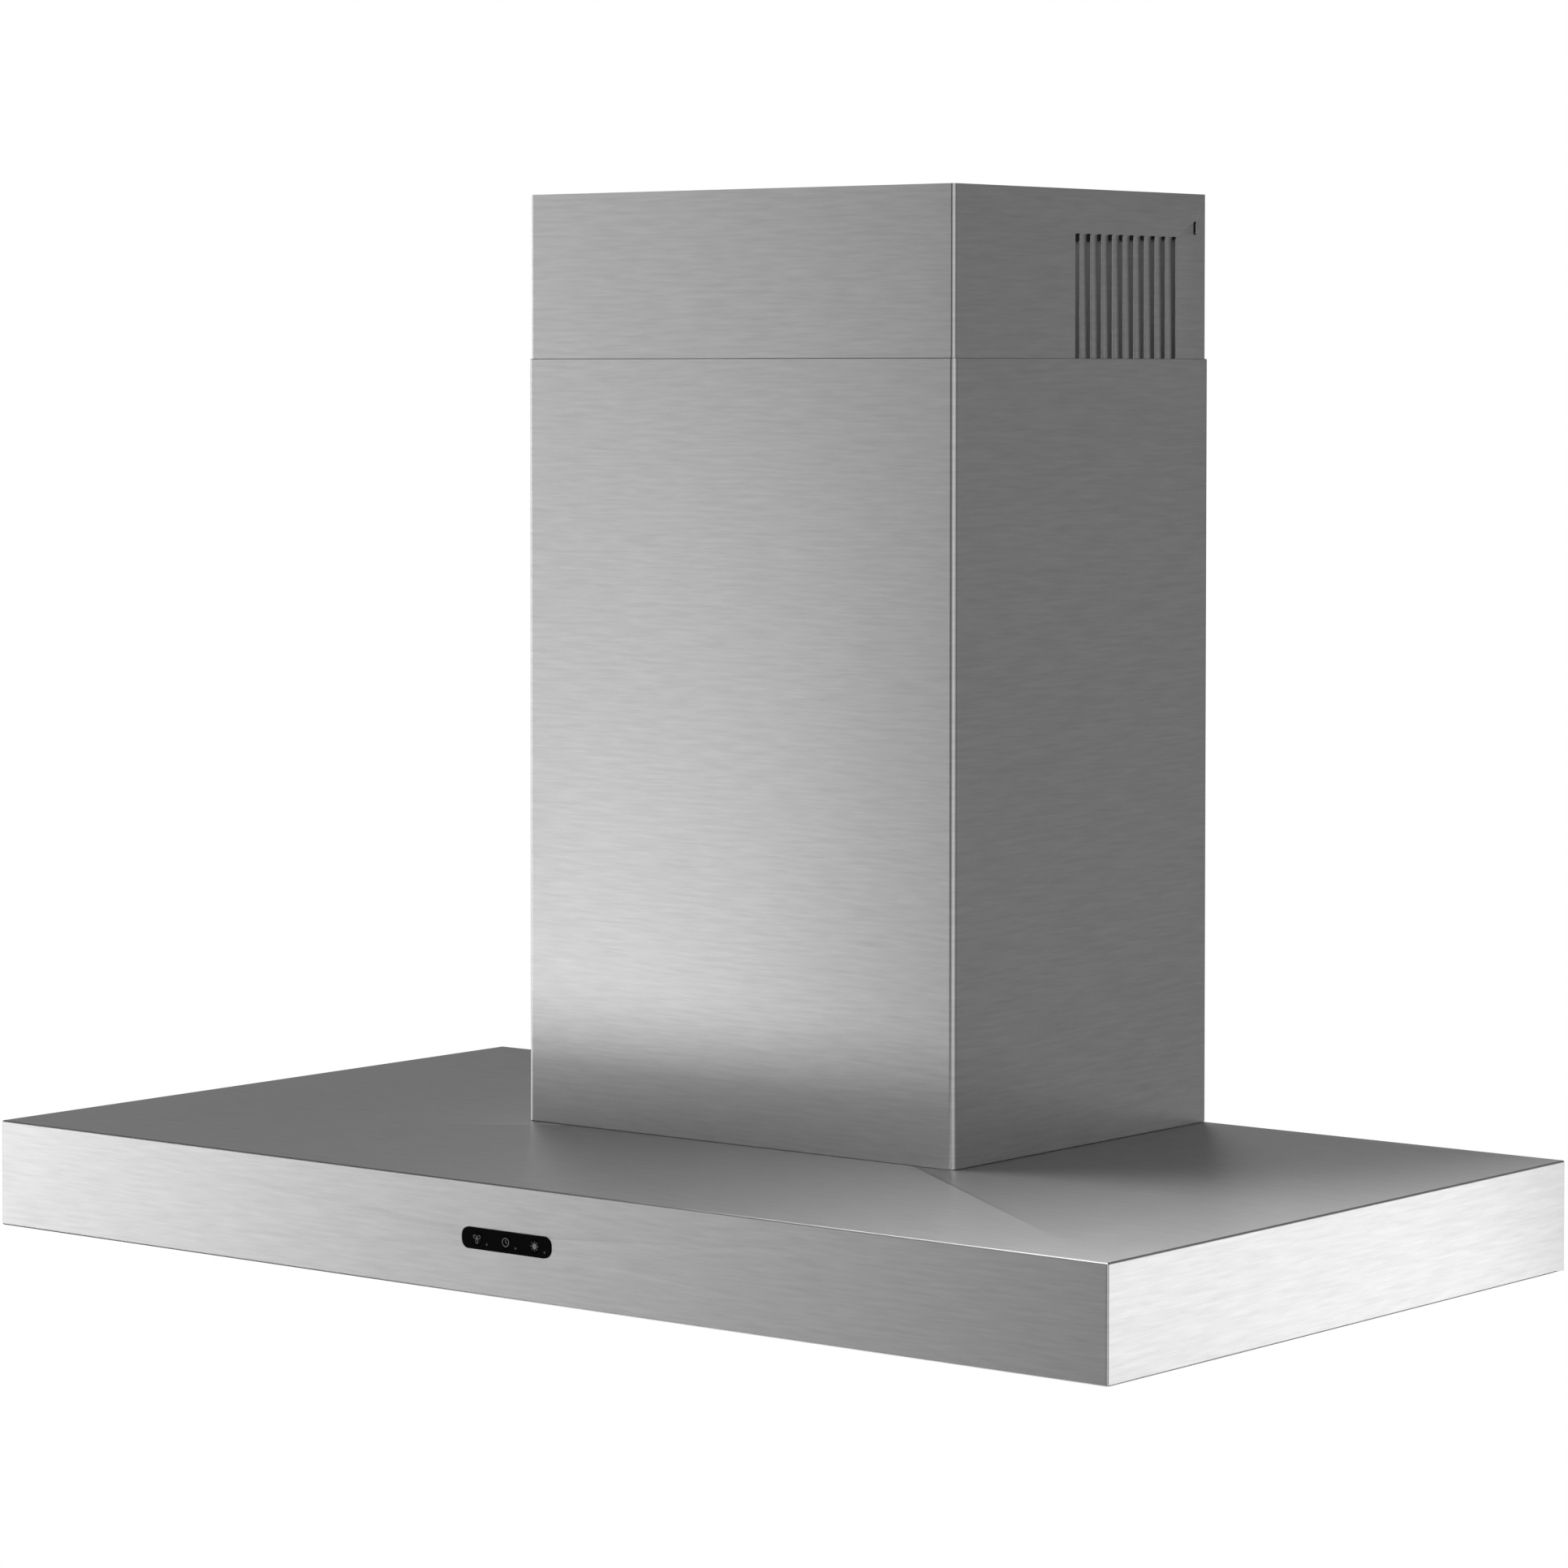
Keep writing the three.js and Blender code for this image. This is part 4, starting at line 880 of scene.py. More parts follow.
@dataclass
class VentedCover(ChimneyCover):
    """The upper cover, with vent slots and a fixing slot in each side."""

    slots: int = 10
    slot_width: float = 5.6 * MM
    slot_pitch: float = 12.05 * MM
    slot_length: float = 112.0 * MM
    slot_corner: float = 1.2 * MM
    from_top: float = 28.5 * MM
    from_wall: float = 37.7 * MM
    fixing: tuple[float, float, float] = (4.0 * MM, 9.0 * MM, 1.98 * MM)
    fixing_from_top: float = 22.5 * MM
    fixing_from_wall: float = 13.5 * MM

    def cut(self, bm: bmesh.types.BMesh, low: Vector, high: Vector) -> None:
        """Cuts the ten slots and the fixing slot through each side.

        Args:
            bm: The folded sheet.
            low: The cover's lowest corner.
            high: The cover's highest corner.
        """
        for x in (low.x, high.x):
            upright = (f for f in bm.faces if abs(f.normal.x) > 0.99)
            sides = [f for f in upright if abs(f.calc_center_median().x - x) < MM]
            face = max(sides, key=lambda f: f.calc_area())
            loops = []
            for i in range(self.slots):
                y = -self.from_wall - i * self.slot_pitch
                z = high.z - self.from_top - self.slot_length / 2
                place = facing((x, y, z), Axis.X)
                loops += rounded_loop(bm, place, self.slot_width, self.slot_length, self.slot_corner, 3)
            place = facing((x, -self.fixing_from_wall, high.z - self.fixing_from_top), Axis.X)
            loops += rounded_loop(bm, place, *self.fixing, corner_steps=5)
            pierce(bm, face, loops)


@dataclass
class Chimney:
    """The two covers, the upper one's wall bracket and the clips on the canopy."""

    lower: ChimneyCover = field(
        default_factory=lambda: ChimneyCover("lower_chimney_cover", "hood", 3.5 * MM, rim=0.38 * MM)
    )
    upper: VentedCover = field(
        default_factory=lambda: VentedCover("upper_chimney_cover", "upper_chimney", 2.7 * MM)
    )

    def build(self) -> None:
        """Builds the covers, the bracket and the clips."""
        self.lower.build()
        self.upper.build()
        # The bracket's near-black finish is painted shade behind the fixing slot and the slots' top ends.
        carried("upper_cover_bracket", BRACKET_PAINTED_SHADE, "upper_chimney", 0.3 * MM)
        for side in SIDES:
            carried(f"lower_cover_clip_{side}", ZINC, "hood", 0.3 * MM)


# ---------------------------------------------------------------- controls


@dataclass
class Symbol:
    """A symbol printed on a key, drawn in thin lines about the key's middle."""

    line: float = 0.42 * MM
    ink: float = 0.03 * MM
    steps: int = 24
    blade: tuple[float, float, float] = (1.75 * MM, 1.3 * MM, 0.72)  # place, radius and narrowing
    blades: int = 3
    hub: float = 0.42 * MM
    clock: float = 2.6 * MM
    long_hand: tuple[float, float] = (0.0, 1.7 * MM)  # start and end, from the middle
    short_hand: tuple[float, float] = (0.25 * MM, 1.3 * MM)
    short_turn: float = -2.1
    lamp: float = 1.8 * MM
    ray: tuple[float, float] = (2.3 * MM, 3.1 * MM)
    rays: int = 8

    def ring(self, bm: bmesh.types.BMesh, place: Matrix, radius: float, narrow: float = 1.0) -> None:
        """Adds a thin ring, round or oval.

        Args:
            bm: The mesh to add to.
            place: Matrix of the ring's middle, with the ring in its x and y.
            radius: The ring's middle radius.
            narrow: Its size along x as a share of that along y.
        """
        loops = []
        for r in (radius - self.line / 2, radius + self.line / 2):
            verts = ring_loop(bm, place @ Matrix.Diagonal((narrow, 1.0, 1.0, 1.0)), r, self.steps)
            loops += edges_between(bm, verts)
        bmesh.ops.bridge_loops(bm, edges=loops)

    def bar(self, bm: bmesh.types.BMesh, place: Matrix, start: float, end: float) -> None:
        """Adds a short bar along the matrix's y.

        Args:
            bm: The mesh to add to.
            place: Matrix of the symbol's middle.
            start: Where the bar starts, from the middle.
            end: Where it ends.
        """
        size = Matrix.Diagonal((self.line, end - start, 1.0, 1.0))
        middle = Matrix.Translation((0, (start + end) / 2, 0))
        bmesh.ops.create_grid(bm, x_segments=1, y_segments=1, size=0.5, matrix=place @ middle @ size)

    def disc(self, bm: bmesh.types.BMesh, place: Matrix, radius: float) -> None:
        """Adds a filled disc."""
        bmesh.ops.create_circle(bm, cap_ends=True, segments=self.steps, radius=radius, matrix=place)

    def fan(self, bm: bmesh.types.BMesh, place: Matrix) -> None:
        """Draws oval blades about a hub.

        Args:
            bm: The mesh to add to.
            place: Matrix of the symbol's middle.
        """
        reach, radius, narrow = self.blade
        for i in range(self.blades):
            turn = Matrix.Rotation(math.pi / 3 + i * 2 * math.pi / self.blades, 4, "Z")
            self.ring(bm, place @ turn @ Matrix.Translation((0, reach, 0)), radius, narrow)
        self.disc(bm, place, self.hub)

    def timer(self, bm: bmesh.types.BMesh, place: Matrix) -> None:
        """Draws a clock face with a long hand and a short one.

        Args:
            bm: The mesh to add to.
            place: Matrix of the symbol's middle.
        """
        self.ring(bm, place, self.clock)
        self.bar(bm, place, *self.long_hand)
        self.bar(bm, place @ Matrix.Rotation(self.short_turn, 4, "Z"), *self.short_hand)

    def light(self, bm: bmesh.types.BMesh, place: Matrix) -> None:
        """Draws a lit lamp: a disc with rays.

        Args:
            bm: The mesh to add to.
            place: Matrix of the symbol's middle.
        """
        self.disc(bm, place, self.lamp)
        for i in range(self.rays):
            self.bar(bm, place @ Matrix.Rotation(i * 2 * math.pi / self.rays, 4, "Z"), *self.ray)


@dataclass
class ControlPanel:
    """The pill-shaped fascia in the canopy's front, its three keys and what is behind them."""

    corner: float = 5.6 * MM
    plate: float = 0.6 * MM
    rim: float = 1.5 * MM
    key_hole: float = 4.4 * MM
    ease: float = 0.28 * MM
    cap: float = 4.2 * MM
    dish: float = 0.16 * MM
    cap_round: float = 0.25 * MM
    shoulder: float = 5.1 * MM
    shoulder_at: float = 5.2 * MM  # behind the cap's front
    shoulder_thick: float = 0.9 * MM
    stem: float = 2.0 * MM
    indicator: float = 0.7 * MM
    indicator_aside: tuple[float, float] = (8.2 * MM, -2.9 * MM)  # right and up from the key's middle
    symbol: Symbol = field(default_factory=Symbol)

    def build(self) -> None:
        """Builds the fascia, keys, symbols, carrier, board and switches."""
        self._fascia()
        for name, draw in zip(KEYS, (self.symbol.fan, self.symbol.timer, self.symbol.light)):
            self._key(name)
            self._print(name, draw)
            carried(f"key_switch_{name}", MATT_BLACK, "hood", 0.2 * MM)
        carried("control_carrier", MATT_BLACK, "hood", 0.3 * MM)
        carried("control_board", BOARD, "hood", 0.1 * MM, 1)

    def _fascia(self) -> None:
        """Builds the plate and the neck behind it, each with three round holes."""
        low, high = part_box("control_fascia")
        bm = bmesh.new()
        width, height = high.x - low.x, high.z - low.z
        middle = (low.z + high.z) / 2
        depths = ((low.y, self.plate, 0.0), (low.y + self.plate, high.y - low.y - self.plate, self.rim))
        for y, depth, inset in depths:
            size = (width - 2 * inset, height - 2 * inset, self.corner - inset)
            edges = list(rounded_loop(bm, facing((0, y, middle), Axis.Y), *size, 10))
            for name in KEYS:
                centre = self.key_centre(name)
                place = facing((centre.x, y, centre.z), Axis.Y)
                edges += edges_between(bm, ring_loop(bm, place, self.key_hole, 40))
            filled = bmesh.ops.triangle_fill(
                bm, use_beauty=True, use_dissolve=False, edges=edges, normal=(0, -1, 0)
            )
            faces = [item for item in filled["geom"] if isinstance(item, bmesh.types.BMFace)]
            made = bmesh.ops.extrude_face_region(bm, geom=faces)["geom"]
            bmesh.ops.translate(bm, verts=verts_in(made), vec=(0, depth, 0))
        bmesh.ops.dissolve_limit(bm, angle_limit=0.01, verts=bm.verts, edges=bm.edges)
        piece = as_piece(bm, "control_fascia_pill", GLOSS_BLACK, "hood", ("control_fascia",))
        round_edges(piece, self.ease, 3, 60.0)

    @staticmethod
    def key_centre(name: str) -> Vector:
        """The middle of a key's cap, on its front."""
        low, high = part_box(f"key_{name}")
        return Vector(((low.x + high.x) / 2, low.y, (low.z + high.z) / 2))

    def _key(self, name: str) -> None:
        """Turns a key: a dished cap, the shoulder that keeps it in, and its stem.

        Args:
            name: The key's name.
        """
        low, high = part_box(f"key_{name}")
        cap, stem, depth = self.cap, self.stem, high.y - low.y
        under = self.shoulder_at + self.shoulder_thick
        near, chamfer = 0.07 * MM, 0.3 * MM
        profile = (
            (0.0, self.dish), (cap * 0.5, self.dish * 0.75), (cap * 0.82, self.dish * 0.2),
            (cap - self.cap_round, 0.0), (cap - near, near), (cap, self.cap_round),
            (cap, self.shoulder_at), (self.shoulder, self.shoulder_at), (self.shoulder, under),
            (stem, under), (stem, depth - chamfer), (stem - chamfer, depth), (0.0, depth),
        )
        bm = turned(profile, self.key_centre(name), Axis.Y, 48)
        as_piece(bm, f"key_{name}_turned", GLOSS_BLACK, f"key_{name}", (f"key_{name}",))

    def _print(self, name: str, draw: Callable[[bmesh.types.BMesh, Matrix], None]) -> None:
        """Prints a symbol on a key, and an indicator window beside it on the fascia.

        Args:
            name: The key's name.
            draw: Draws the symbol's flat faces.
        """
        centre = self.key_centre(name)
        bm = bmesh.new()
        draw(bm, facing(centre, Axis.Y))
        self._raise(bm)
        as_piece(bm, f"key_{name}_symbol", INK, f"key_{name}")
        bm = bmesh.new()
        right, up = self.indicator_aside
        self.symbol.disc(bm, facing(centre + Vector((right, 0, up)), Axis.Y), self.indicator)
        self._raise(bm)
        as_piece(bm, f"indicator_{name}", DIM_INK, "hood")

    def _raise(self, bm: bmesh.types.BMesh) -> None:
        """Gives flat printing its thickness of ink."""
        made = bmesh.ops.extrude_face_region(bm, geom=bm.faces[:])["geom"]
        bmesh.ops.translate(bm, verts=verts_in(made), vec=(0, -self.symbol.ink, 0))
        bmesh.ops.translate(bm, verts=bm.verts, vec=(0, self.symbol.ink / 2, 0))


# ---------------------------------------------------------------- filters and lamps


@dataclass
class GreaseFilter:
    """An aluminium cassette: a frame, three layers of expanded mesh and a sliding latch."""

    side: str
    cell: float = 11.0 * MM
    rise: float = 3.1 * MM
    strand: float = 0.9 * MM
    strand_high: float = 0.5 * MM
    wire: float = 0.45 * MM
    layers: int = 3
    inset: float = 1.5 * MM  # from the slab's edge
    pad_aside: float = 16.0 * MM  # from the latch to the edge of its pad
    pad_behind: float = 8.0 * MM

    def build(self) -> None:
        """Builds the frame, the mesh and the latch."""
        body = f"filter_{self.side}"
        carried(f"filter_frame_{self.side}", ALUMINIUM, body, 0.9 * MM, 3)
        self._mesh(body)
        carried(f"filter_latch_{self.side}", MATT_BLACK, f"latch_{self.side}", 0.5 * MM, 3)

    def _mesh(self, body: str) -> None:
        """Builds the layers of mesh, each of wavy strands that touch their neighbours.

        Args:
            body: The filter's body.
        """
        node = f"filter_mesh_{self.side}"
        low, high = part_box(node)
        pad_low, pad_high = self._pad()
        bm = bmesh.new()
        gap = (high.z - low.z) / self.layers
        for layer in range(self.layers):
            z = low.z + (layer + 0.5) * gap
            shift = layer * self.cell / self.layers
            self._layer(bm, low, high, z, shift)
        inside = [
            f for f in bm.faces
            if pad_low.x < f.calc_center_median().x < pad_high.x and f.calc_center_median().y < pad_high.y
        ]
        bmesh.ops.delete(bm, geom=inside, context="FACES")
        piece = as_piece(bm, node + "_expanded", MESH_ALUMINIUM, body, (node,), 50.0)
        thicken(piece, self.wire, 0.0)

    def _pad(self) -> tuple[Vector, Vector]:
        """The corners of the latch's pad in the frame."""
        low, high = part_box(f"filter_latch_{self.side}")
        return low - Vector((self.pad_aside, 0, 0)), high + Vector((self.pad_aside, self.pad_behind, 0))

    def _layer(self, bm: bmesh.types.BMesh, low: Vector, high: Vector, z: float, shift: float) -> None:
        """Adds one layer: wavy strands side by side, every other one a half wave along.

        Args:
            bm: The mesh to add to.
            low: The slab's lowest corner.
            high: The slab's highest corner.
            z: The layer's height.
            shift: How far the layer is moved along x.
        """
        inset, start = self.inset, z - self.strand_high / 2
        steps = int((high.x - low.x - 2 * inset) / (self.cell / 2))
        rows = int((high.y - low.y - 2 * inset) / (2 * self.rise)) - 1
        for row in range(rows):
            y = low.y + inset + self.rise + row * 2 * self.rise
            verts = []
            for i in range(steps):
                wave = self.rise if (i + row) % 2 else -self.rise
                x = min(low.x + inset + i * self.cell / 2 + shift, high.x - inset)
                verts.append(bm.verts.new((x, y + wave - self.strand / 2, start)))
            edges = [bm.edges.new(pair) for pair in zip(verts, verts[1:])]
            made = bmesh.ops.extrude_edge_only(bm, edges=edges)["geom"]
            bmesh.ops.translate(bm, verts=verts_in(made), vec=(0, self.strand, self.strand_high))


@dataclass
class Lamp:
    """A recessed lamp: a turned bezel, a frosted lens and a finned can above."""

    side: str
    opening: float = 25.0 * MM
    collar: float = 27.7 * MM
    face: float = 2.0 * MM
    dome: float = 0.9 * MM
    dome_steps: int = 8
    can_edge: float = 0.6 * MM
    fins: int = 6
    fin_depth: float = 5.0 * MM

    def build(self) -> None:
        """Turns the bezel, the lens and the can."""
        self._bezel()
        self._lens()
        self._housing()

    def _centre(self) -> Vector:
        """The lamp's middle, at the bezel's lowest point."""
        low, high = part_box(f"lamp_bezel_{self.side}")
        return Vector(((low.x + high.x) / 2, (low.y + high.y) / 2, low.z))

    def _bezel(self) -> None:
        """Turns the ring with a soft outer edge and a chamfer down to the lens."""
        node = f"lamp_bezel_{self.side}"
        low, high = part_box(node)
        inner, outer, top = self.opening, (high.x - low.x) / 2, high.z - low.z
        profile = (
            (inner, 0.9 * MM), (inner + 0.5 * MM, 0.35 * MM), (inner + 1.3 * MM, 0.05 * MM),
            (inner + 2 * MM, 0.0), (outer - 2.2 * MM, 0.0), (outer - 1.1 * MM, 0.25 * MM),
            (outer - 0.35 * MM, 0.8 * MM), (outer, 1.5 * MM), (outer, self.face),
            (self.collar, self.face), (self.collar, top), (inner, top),
        )
        bm = turned(profile, self._centre(), Axis.Z, 72)
        as_piece(bm, node + "_turned", NICKEL, "hood", (node,), 30.0)

    def _lens(self) -> None:
        """Turns the slightly domed lens."""
        node = f"lamp_lens_{self.side}"
        low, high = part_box(node)
        radius = (high.x - low.x) / 2
        depth = high.z - low.z
        centre = self._centre()
        centre.z = low.z
        angles = (i * math.pi / 2 / self.dome_steps for i in range(self.dome_steps))
        profile = [(radius * math.sin(a), self.dome * (1 - math.cos(a))) for a in angles]
        profile += [(radius, self.dome * 1.05), (radius, depth), (0.0, depth)]
        bm = turned(profile, centre, Axis.Z, 72)
        as_piece(bm, node + "_domed", LENS_GLASS, "hood", (node,), 30.0)

    def _housing(self) -> None:
        """Turns the can, with cooling fins round its upper half."""
        node = f"lamp_housing_{self.side}"
        low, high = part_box(node)
        radius = (high.x - low.x) / 2
        height = high.z - low.z
        neck = radius - self.fin_depth
        pitch = height / 2 / self.fins
        edge = self.can_edge
        profile = [(0.0, 0.0), (radius - edge, 0.0), (radius, edge), (radius, height / 2)]
        for i in range(self.fins):
            z = height / 2 + i * pitch
            profile += [(neck, z), (neck, z + pitch / 2), (radius, z + pitch / 2), (radius, z + pitch)]
        profile += [(0.0, height)]
        centre = self._centre()
        centre.z = low.z
        bm = turned(profile, centre, Axis.Z, 48)
        as_piece(bm, node + "_finned", CAST_ALUMINIUM, "hood", (node,), 30.0)


# ---------------------------------------------------------------- blower and outlet


@dataclass
class Blower:
    """What moves the air: enclosure, scroll, wheel, motor and its bracket."""

    screws: int = 4
    shank: float = 2.2 * MM
    head_high: float = 2.5 * MM
    thread_start: float = 1.2 * MM
    thread_pitch: float = 0.8 * MM
    thread_deep: float = 0.35 * MM

    def build(self) -> None:
        """Gives each of the blower's parts eased edges and its finish."""
        carried("blower_enclosure", ZINC, "hood", 0.4 * MM)
        carried("wall_hanger", ZINC, "hood", 0.5 * MM)
        for side in SIDES:
            carried(f"scroll_half_{side}", GREY_PLASTIC, "hood", 0.5 * MM)
        carried("impeller", GREY_PLASTIC, "rotor", 0.2 * MM, 1)
        carried("motor_shaft", PLATED, "rotor", 0.3 * MM)
        carried("motor_can", MOTOR_PAINT, "hood", 0.6 * MM)
        carried("motor_spider", ZINC, "hood", 0.3 * MM)
        for end in ("inner", "outer"):
            carried(f"motor_bearing_{end}", BRONZE, "hood", 0.3 * MM)
        carried("run_capacitor", PALE_PLASTIC, "hood", 0.8 * MM, 3)
        for i in range(self.screws):
            self._screw(f"enclosure_screw_{i + 1}")

    def _screw(self, node: str) -> None:
        """Turns a pan-head screw with its thread and a hollow in its head.

        Args:
            node: The screw's CAD node.
        """
        low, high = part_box(node)
        centre = Vector(((low.x + high.x) / 2, (low.y + high.y) / 2, low.z))
        head, shank, pitch = (high.x - low.x) / 2, self.shank, self.thread_pitch
        seat = high.z - low.z - self.head_high
        profile = [(0.0, 0.0), (shank * 0.5, 0.2 * MM), (shank, self.thread_start)]
        for i in range(int((seat - 2.0 * MM) / pitch)):
            z = self.thread_start + i * pitch
            root = (shank - self.thread_deep, z + 0.45 * MM)
            profile += [(shank, z + 0.1 * MM), root, (shank, z + pitch)]
        profile += [
            (shank, seat), (head, seat), (head, seat + 0.8 * MM), (head * 0.92, seat + 1.5 * MM),
            (head * 0.7, seat + 2.1 * MM), (head * 0.42, seat + 2.4 * MM), (head * 0.3, seat + 1.2 * MM),
            (0.0, seat + 1.1 * MM),
        ]
        bm = turned(profile, centre, Axis.Z, 24)
        as_piece(bm, node + "_turned", PLATED, "hood", (node,), 30.0)


@dataclass
class Outlet:
    """The collar that the duct fits over, with its two-leaf damper."""

    def build(self) -> None:
        """Gives the collar, the pin and the flaps their finish."""
        carried("outlet_collar", MATT_BLACK, "hood", 0.4 * MM)
        carried("damper_pin", PLATED, "hood", 0.3 * MM)
        carried("damper_flap_front", MATT_BLACK, "damper_front", 0.3 * MM)
        carried("damper_flap_rear", MATT_BLACK, "damper_rear", 0.3 * MM)


@dataclass
class Wiring:
    """The junction box with its gland and terminals, and the power module."""

    def build(self) -> None:
        """Gives the boxes eased edges and their finish."""
        carried("junction_box", ZINC, "hood", 0.4 * MM)
        carried("junction_box_cover", ZINC, "hood", 0.3 * MM)
        carried("cable_gland", MATT_BLACK, "hood", 0.5 * MM)
        carried("terminal_block", PALE_PLASTIC, "hood", 0.4 * MM)
        carried("power_module", GREY_PLASTIC, "hood", 0.9 * MM, 3)


# ---------------------------------------------------------------- studio


@dataclass(frozen=True)
class Glow:
    """A soft patch of light far away, which fades evenly from its middle."""

    name: str
    turn_deg: float  # from straight in front of the hood, towards its right
    rise_deg: float
    wide_deg: float
    high_deg: float
    strength: float

    def draw(
        self, graph: Graph, turn: bpy.types.NodeSocket, rise: bpy.types.NodeSocket
    ) -> bpy.types.NodeSocket:
        """Adds the patch to the room's light.

        Args:
            graph: The room's graph.
            turn: Compass angle of the direction, in radians.
            rise: Height of the direction over the horizon, in radians.

        Returns:
            The patch's strength in that direction.
        """
        aside = graph.math("SUBTRACT", turn, math.radians(self.turn_deg))
        wrapped = graph.add("Math", {0: aside, 1: math.pi, 2: -math.pi}, operation="WRAP").outputs[0]
        above = graph.math("SUBTRACT", rise, math.radians(self.rise_deg))
        across = graph.math("DIVIDE", wrapped, math.radians(self.wide_deg))
        up = graph.math("DIVIDE", above, math.radians(self.high_deg))
        far = graph.math("ADD", graph.math("MULTIPLY", across, across), graph.math("MULTIPLY", up, up))
        fade = graph.math("EXPONENT", graph.math("MULTIPLY", far, -1.0))
        return graph.math("MULTIPLY", fade, self.strength)


@dataclass(frozen=True)
class SoftBox:
    """A rectangular lamp that points at a spot. It can be kept to some pieces only."""

    name: str
    place: tuple[float, float, float]
    aim: tuple[float, float, float]
    width: float
    height: float
    strength: float
    only: tuple[str, ...] = ()

    def build(self) -> None:
        """Makes the lamp, unseen by the camera itself."""
        data = bpy.data.lights.new(self.name, "AREA")
        data.shape = "RECTANGLE"
        data.size, data.size_y = self.width, self.height
        data.energy = self.strength * math.pi * self.width * self.height
        lamp = bpy.data.objects.new(self.name, data)
        bpy.context.scene.collection.objects.link(lamp)
        lamp.location = self.place
        lamp.rotation_euler = (Vector(self.aim) - Vector(self.place)).to_track_quat("-Z", "Y").to_euler()
        lamp.visible_camera = False
        if self.only:
            lit = bpy.data.collections.new(self.name)
            for piece in self.only:
                lit.objects.link(bpy.data.objects[piece])
            lamp.light_linking.receiver_collection = lit


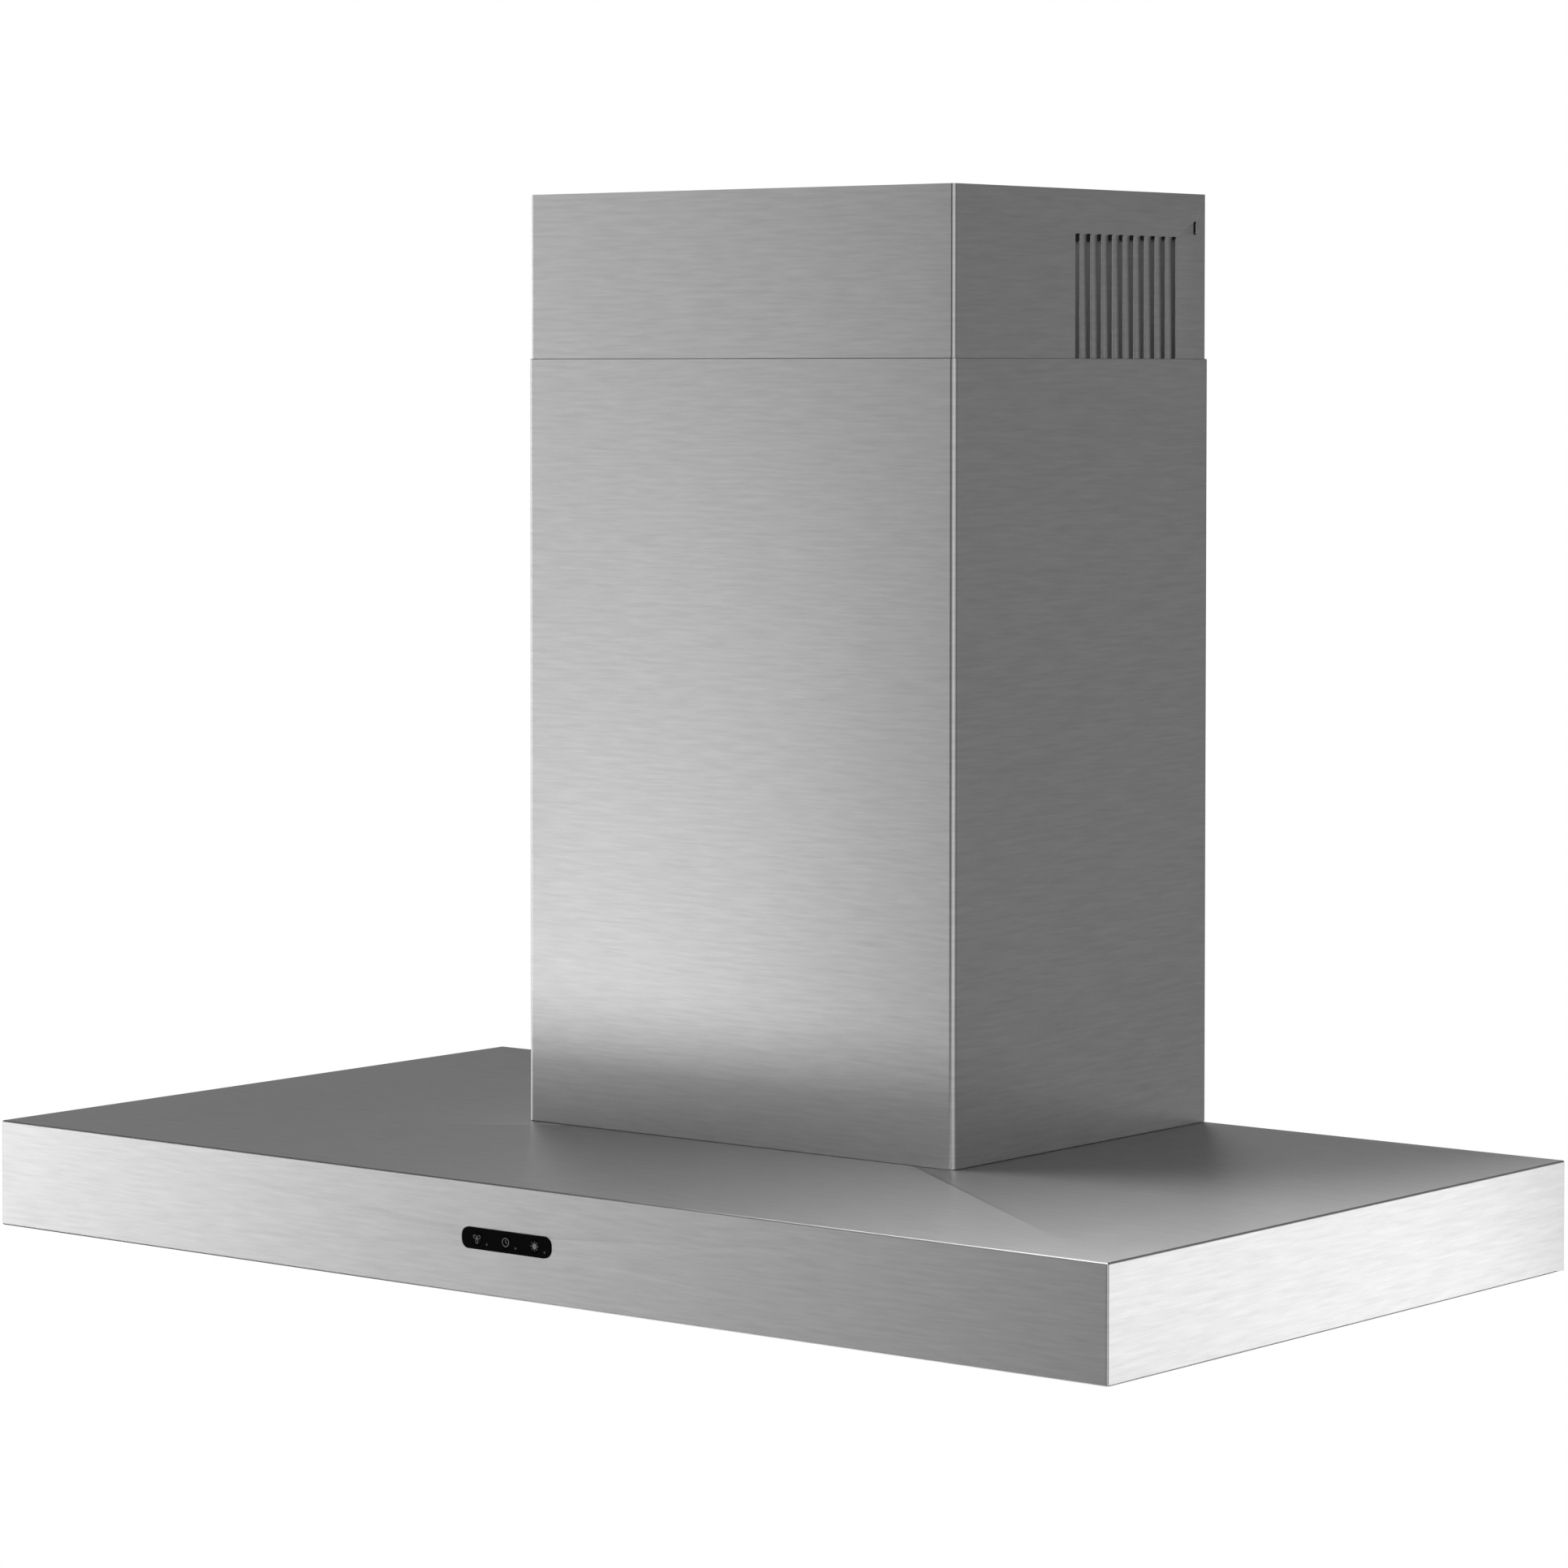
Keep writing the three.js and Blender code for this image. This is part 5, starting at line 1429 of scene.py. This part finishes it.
@dataclass
class Studio:
    """A pale room: floor, soft lights and the camera."""

    even: float = 0.05
    glows: tuple[Glow, ...] = (
        Glow("key edge", -60, -4, 8, 14, 2.5),
        Glow("key left", -50, -6, 5, 12, 2.5),
        Glow("key middle", -44, -6, 5, 12, 0.83),
        Glow("key right", -38, -8, 5, 12, 0.55),
        Glow("side", -95, 5, 22, 18, 1.84),
        Glow("back right low", 141, -6, 20, 9, 0.33),
        Glow("back right high", 141, 14, 22, 14, 0.15),
        Glow("back left low", -141, 8, 14, 7, 0.03),
        Glow("back left high", -142, 32, 30, 18, 0.33),
        Glow("fill", 50, 0, 42, 40, 1.0),
    )
    boxes: tuple[SoftBox, ...] = (
        SoftBox("top box left", (-0.6, -0.5, 1.3), (-0.6, -0.5, 0.0), 0.5, 0.6, 2.2, CANOPY_PIECES),
        SoftBox("top box right", (-0.1, -0.5, 1.3), (-0.1, -0.5, 0.0), 1.0, 1.0, 5.4, CANOPY_PIECES),
        SoftBox("under box", (0.0, 0.1, -1.45), (0.0, 0.1, 0.0), 2.6, 2.6, 1.1),
        SoftBox("rear box", (-0.9, 2.2, 1.0), (0.0, -0.1, 0.2), 1.4, 1.4, 2.0, REAR_PIECES),
        SoftBox("low box", (1.14, 0.4, -0.16), (0.5, -0.25, 0.0), 0.9, 0.5, 1.5, CANOPY_PIECES),
        SoftBox("front box left", (-1.42, -1.8, -0.35), (-0.1, -0.28, 0.3), 0.36, 0.3, 2.5, COVER_PIECES),
        SoftBox("front box right", (-1.08, -1.87, -0.35), (0.1, -0.28, 0.3), 0.3, 0.3, 0.75, COVER_PIECES),
    )
    floor_drop: float = 1.6
    floor_half: float = 4.0
    wall_gap: float = 2.0 * MM
    wall_inset: float = 6.0 * MM
    camera_place: tuple[float, float, float] = (2.152105, -2.918206, 0.532819)
    camera_turn_deg: float = 39.209
    camera_tilt_deg: float = -2.066
    sensor_mm: float = 36.0
    lens_mm: float = 121.732919
    shift: tuple[float, float] = (0.03257246, -0.14026915)  # as shares of the sensor

    def build(self) -> None:
        """Builds the floor, the lights and the camera."""
        self._floor()
        self._wall_board()
        self._sky()
        for box in self.boxes:
            box.build()
        self._camera()
        bpy.context.scene.view_settings.view_transform = "Standard"

    @staticmethod
    def _board(name: str, place: Matrix, finish: Finish) -> None:
        """Stands a flat board in the studio.

        Args:
            name: The board's name.
            place: Matrix of a square two metres wide.
            finish: The board's finish.
        """
        bm = bmesh.new()
        bmesh.ops.create_grid(bm, x_segments=1, y_segments=1, size=1.0, matrix=place)
        mesh = bpy.data.meshes.new(name)
        bm.to_mesh(mesh)
        bm.free()
        mesh.materials.append(finish.material())
        board = bpy.data.objects.new(name, mesh)
        bpy.context.scene.collection.objects.link(board)

    def _floor(self) -> None:
        """Lays the floor."""
        place = Matrix.Translation((0, 0, -self.floor_drop)) @ Matrix.Scale(self.floor_half, 4)
        self._board("floor", place, FLOOR_PAINT)

    def _wall_board(self) -> None:
        """Stands a board for the wall behind the chimney, where its slots and open back would show it."""
        low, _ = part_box("lower_chimney_cover")
        _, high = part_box("upper_chimney_cover")
        middle = (0.0, high.y + self.wall_gap, (low.z + high.z) / 2)
        half = Matrix.Diagonal((-low.x - self.wall_inset, (high.z - low.z) / 2 - self.wall_inset, 1.0, 1.0))
        self._board("wall_board", facing(middle, Axis.Y) @ half, WALL_PAINT)

    def _sky(self) -> None:
        """Draws the room's light: white behind the hood, and soft patches all round it."""
        world = bpy.data.worlds.new("studio")
        bpy.context.scene.world = world
        world.use_nodes = True
        graph = Graph(world.node_tree)
        direction = graph.add("TexCoord").outputs["Generated"]
        parts = graph.add("SeparateXYZ", {0: direction}).outputs
        turn = graph.math("ARCTAN2", parts[0], graph.math("MULTIPLY", parts[1], -1.0))
        rise = graph.math("ARCSINE", parts[2])
        total: object = self.even
        for glow in self.glows:
            total = graph.math("ADD", glow.draw(graph, turn, rise), total)
        room = graph.add("Background", {"Color": (1, 1, 1, 1), "Strength": total})
        white = graph.add("Background", {"Color": (1, 1, 1, 1), "Strength": 1.0})
        seen = graph.add("LightPath").outputs["Is Camera Ray"]
        mixed = graph.add("MixShader", {0: seen, 1: room.outputs[0], 2: white.outputs[0]})
        graph.add("OutputWorld", {"Surface": mixed.outputs[0]})

    def _camera(self) -> None:
        """Places the camera."""
        data = bpy.data.cameras.new("camera")
        data.sensor_width = self.sensor_mm
        data.lens = self.lens_mm
        data.shift_x, data.shift_y = self.shift
        data.clip_start = 0.05
        camera = bpy.data.objects.new("camera", data)
        bpy.context.scene.collection.objects.link(camera)
        camera.location = self.camera_place
        tilt = math.radians(90 + self.camera_tilt_deg)
        camera.rotation_euler = (tilt, 0.0, math.radians(self.camera_turn_deg))
        bpy.context.scene.camera = camera


def main() -> None:
    """Builds the studio and every part of the hood in order."""
    logging.basicConfig(level=logging.INFO, format="%(name)s: %(message)s")
    parts = [Canopy(), Chimney(), ControlPanel()]
    parts += [GreaseFilter(side) for side in SIDES]
    parts += [Lamp(side) for side in SIDES]
    parts += [Blower(), Outlet(), Wiring(), Studio()]
    for part in parts:
        LOG.info("building %s", type(part).__name__)
        part.build()


if __name__ == "__main__":
    main()
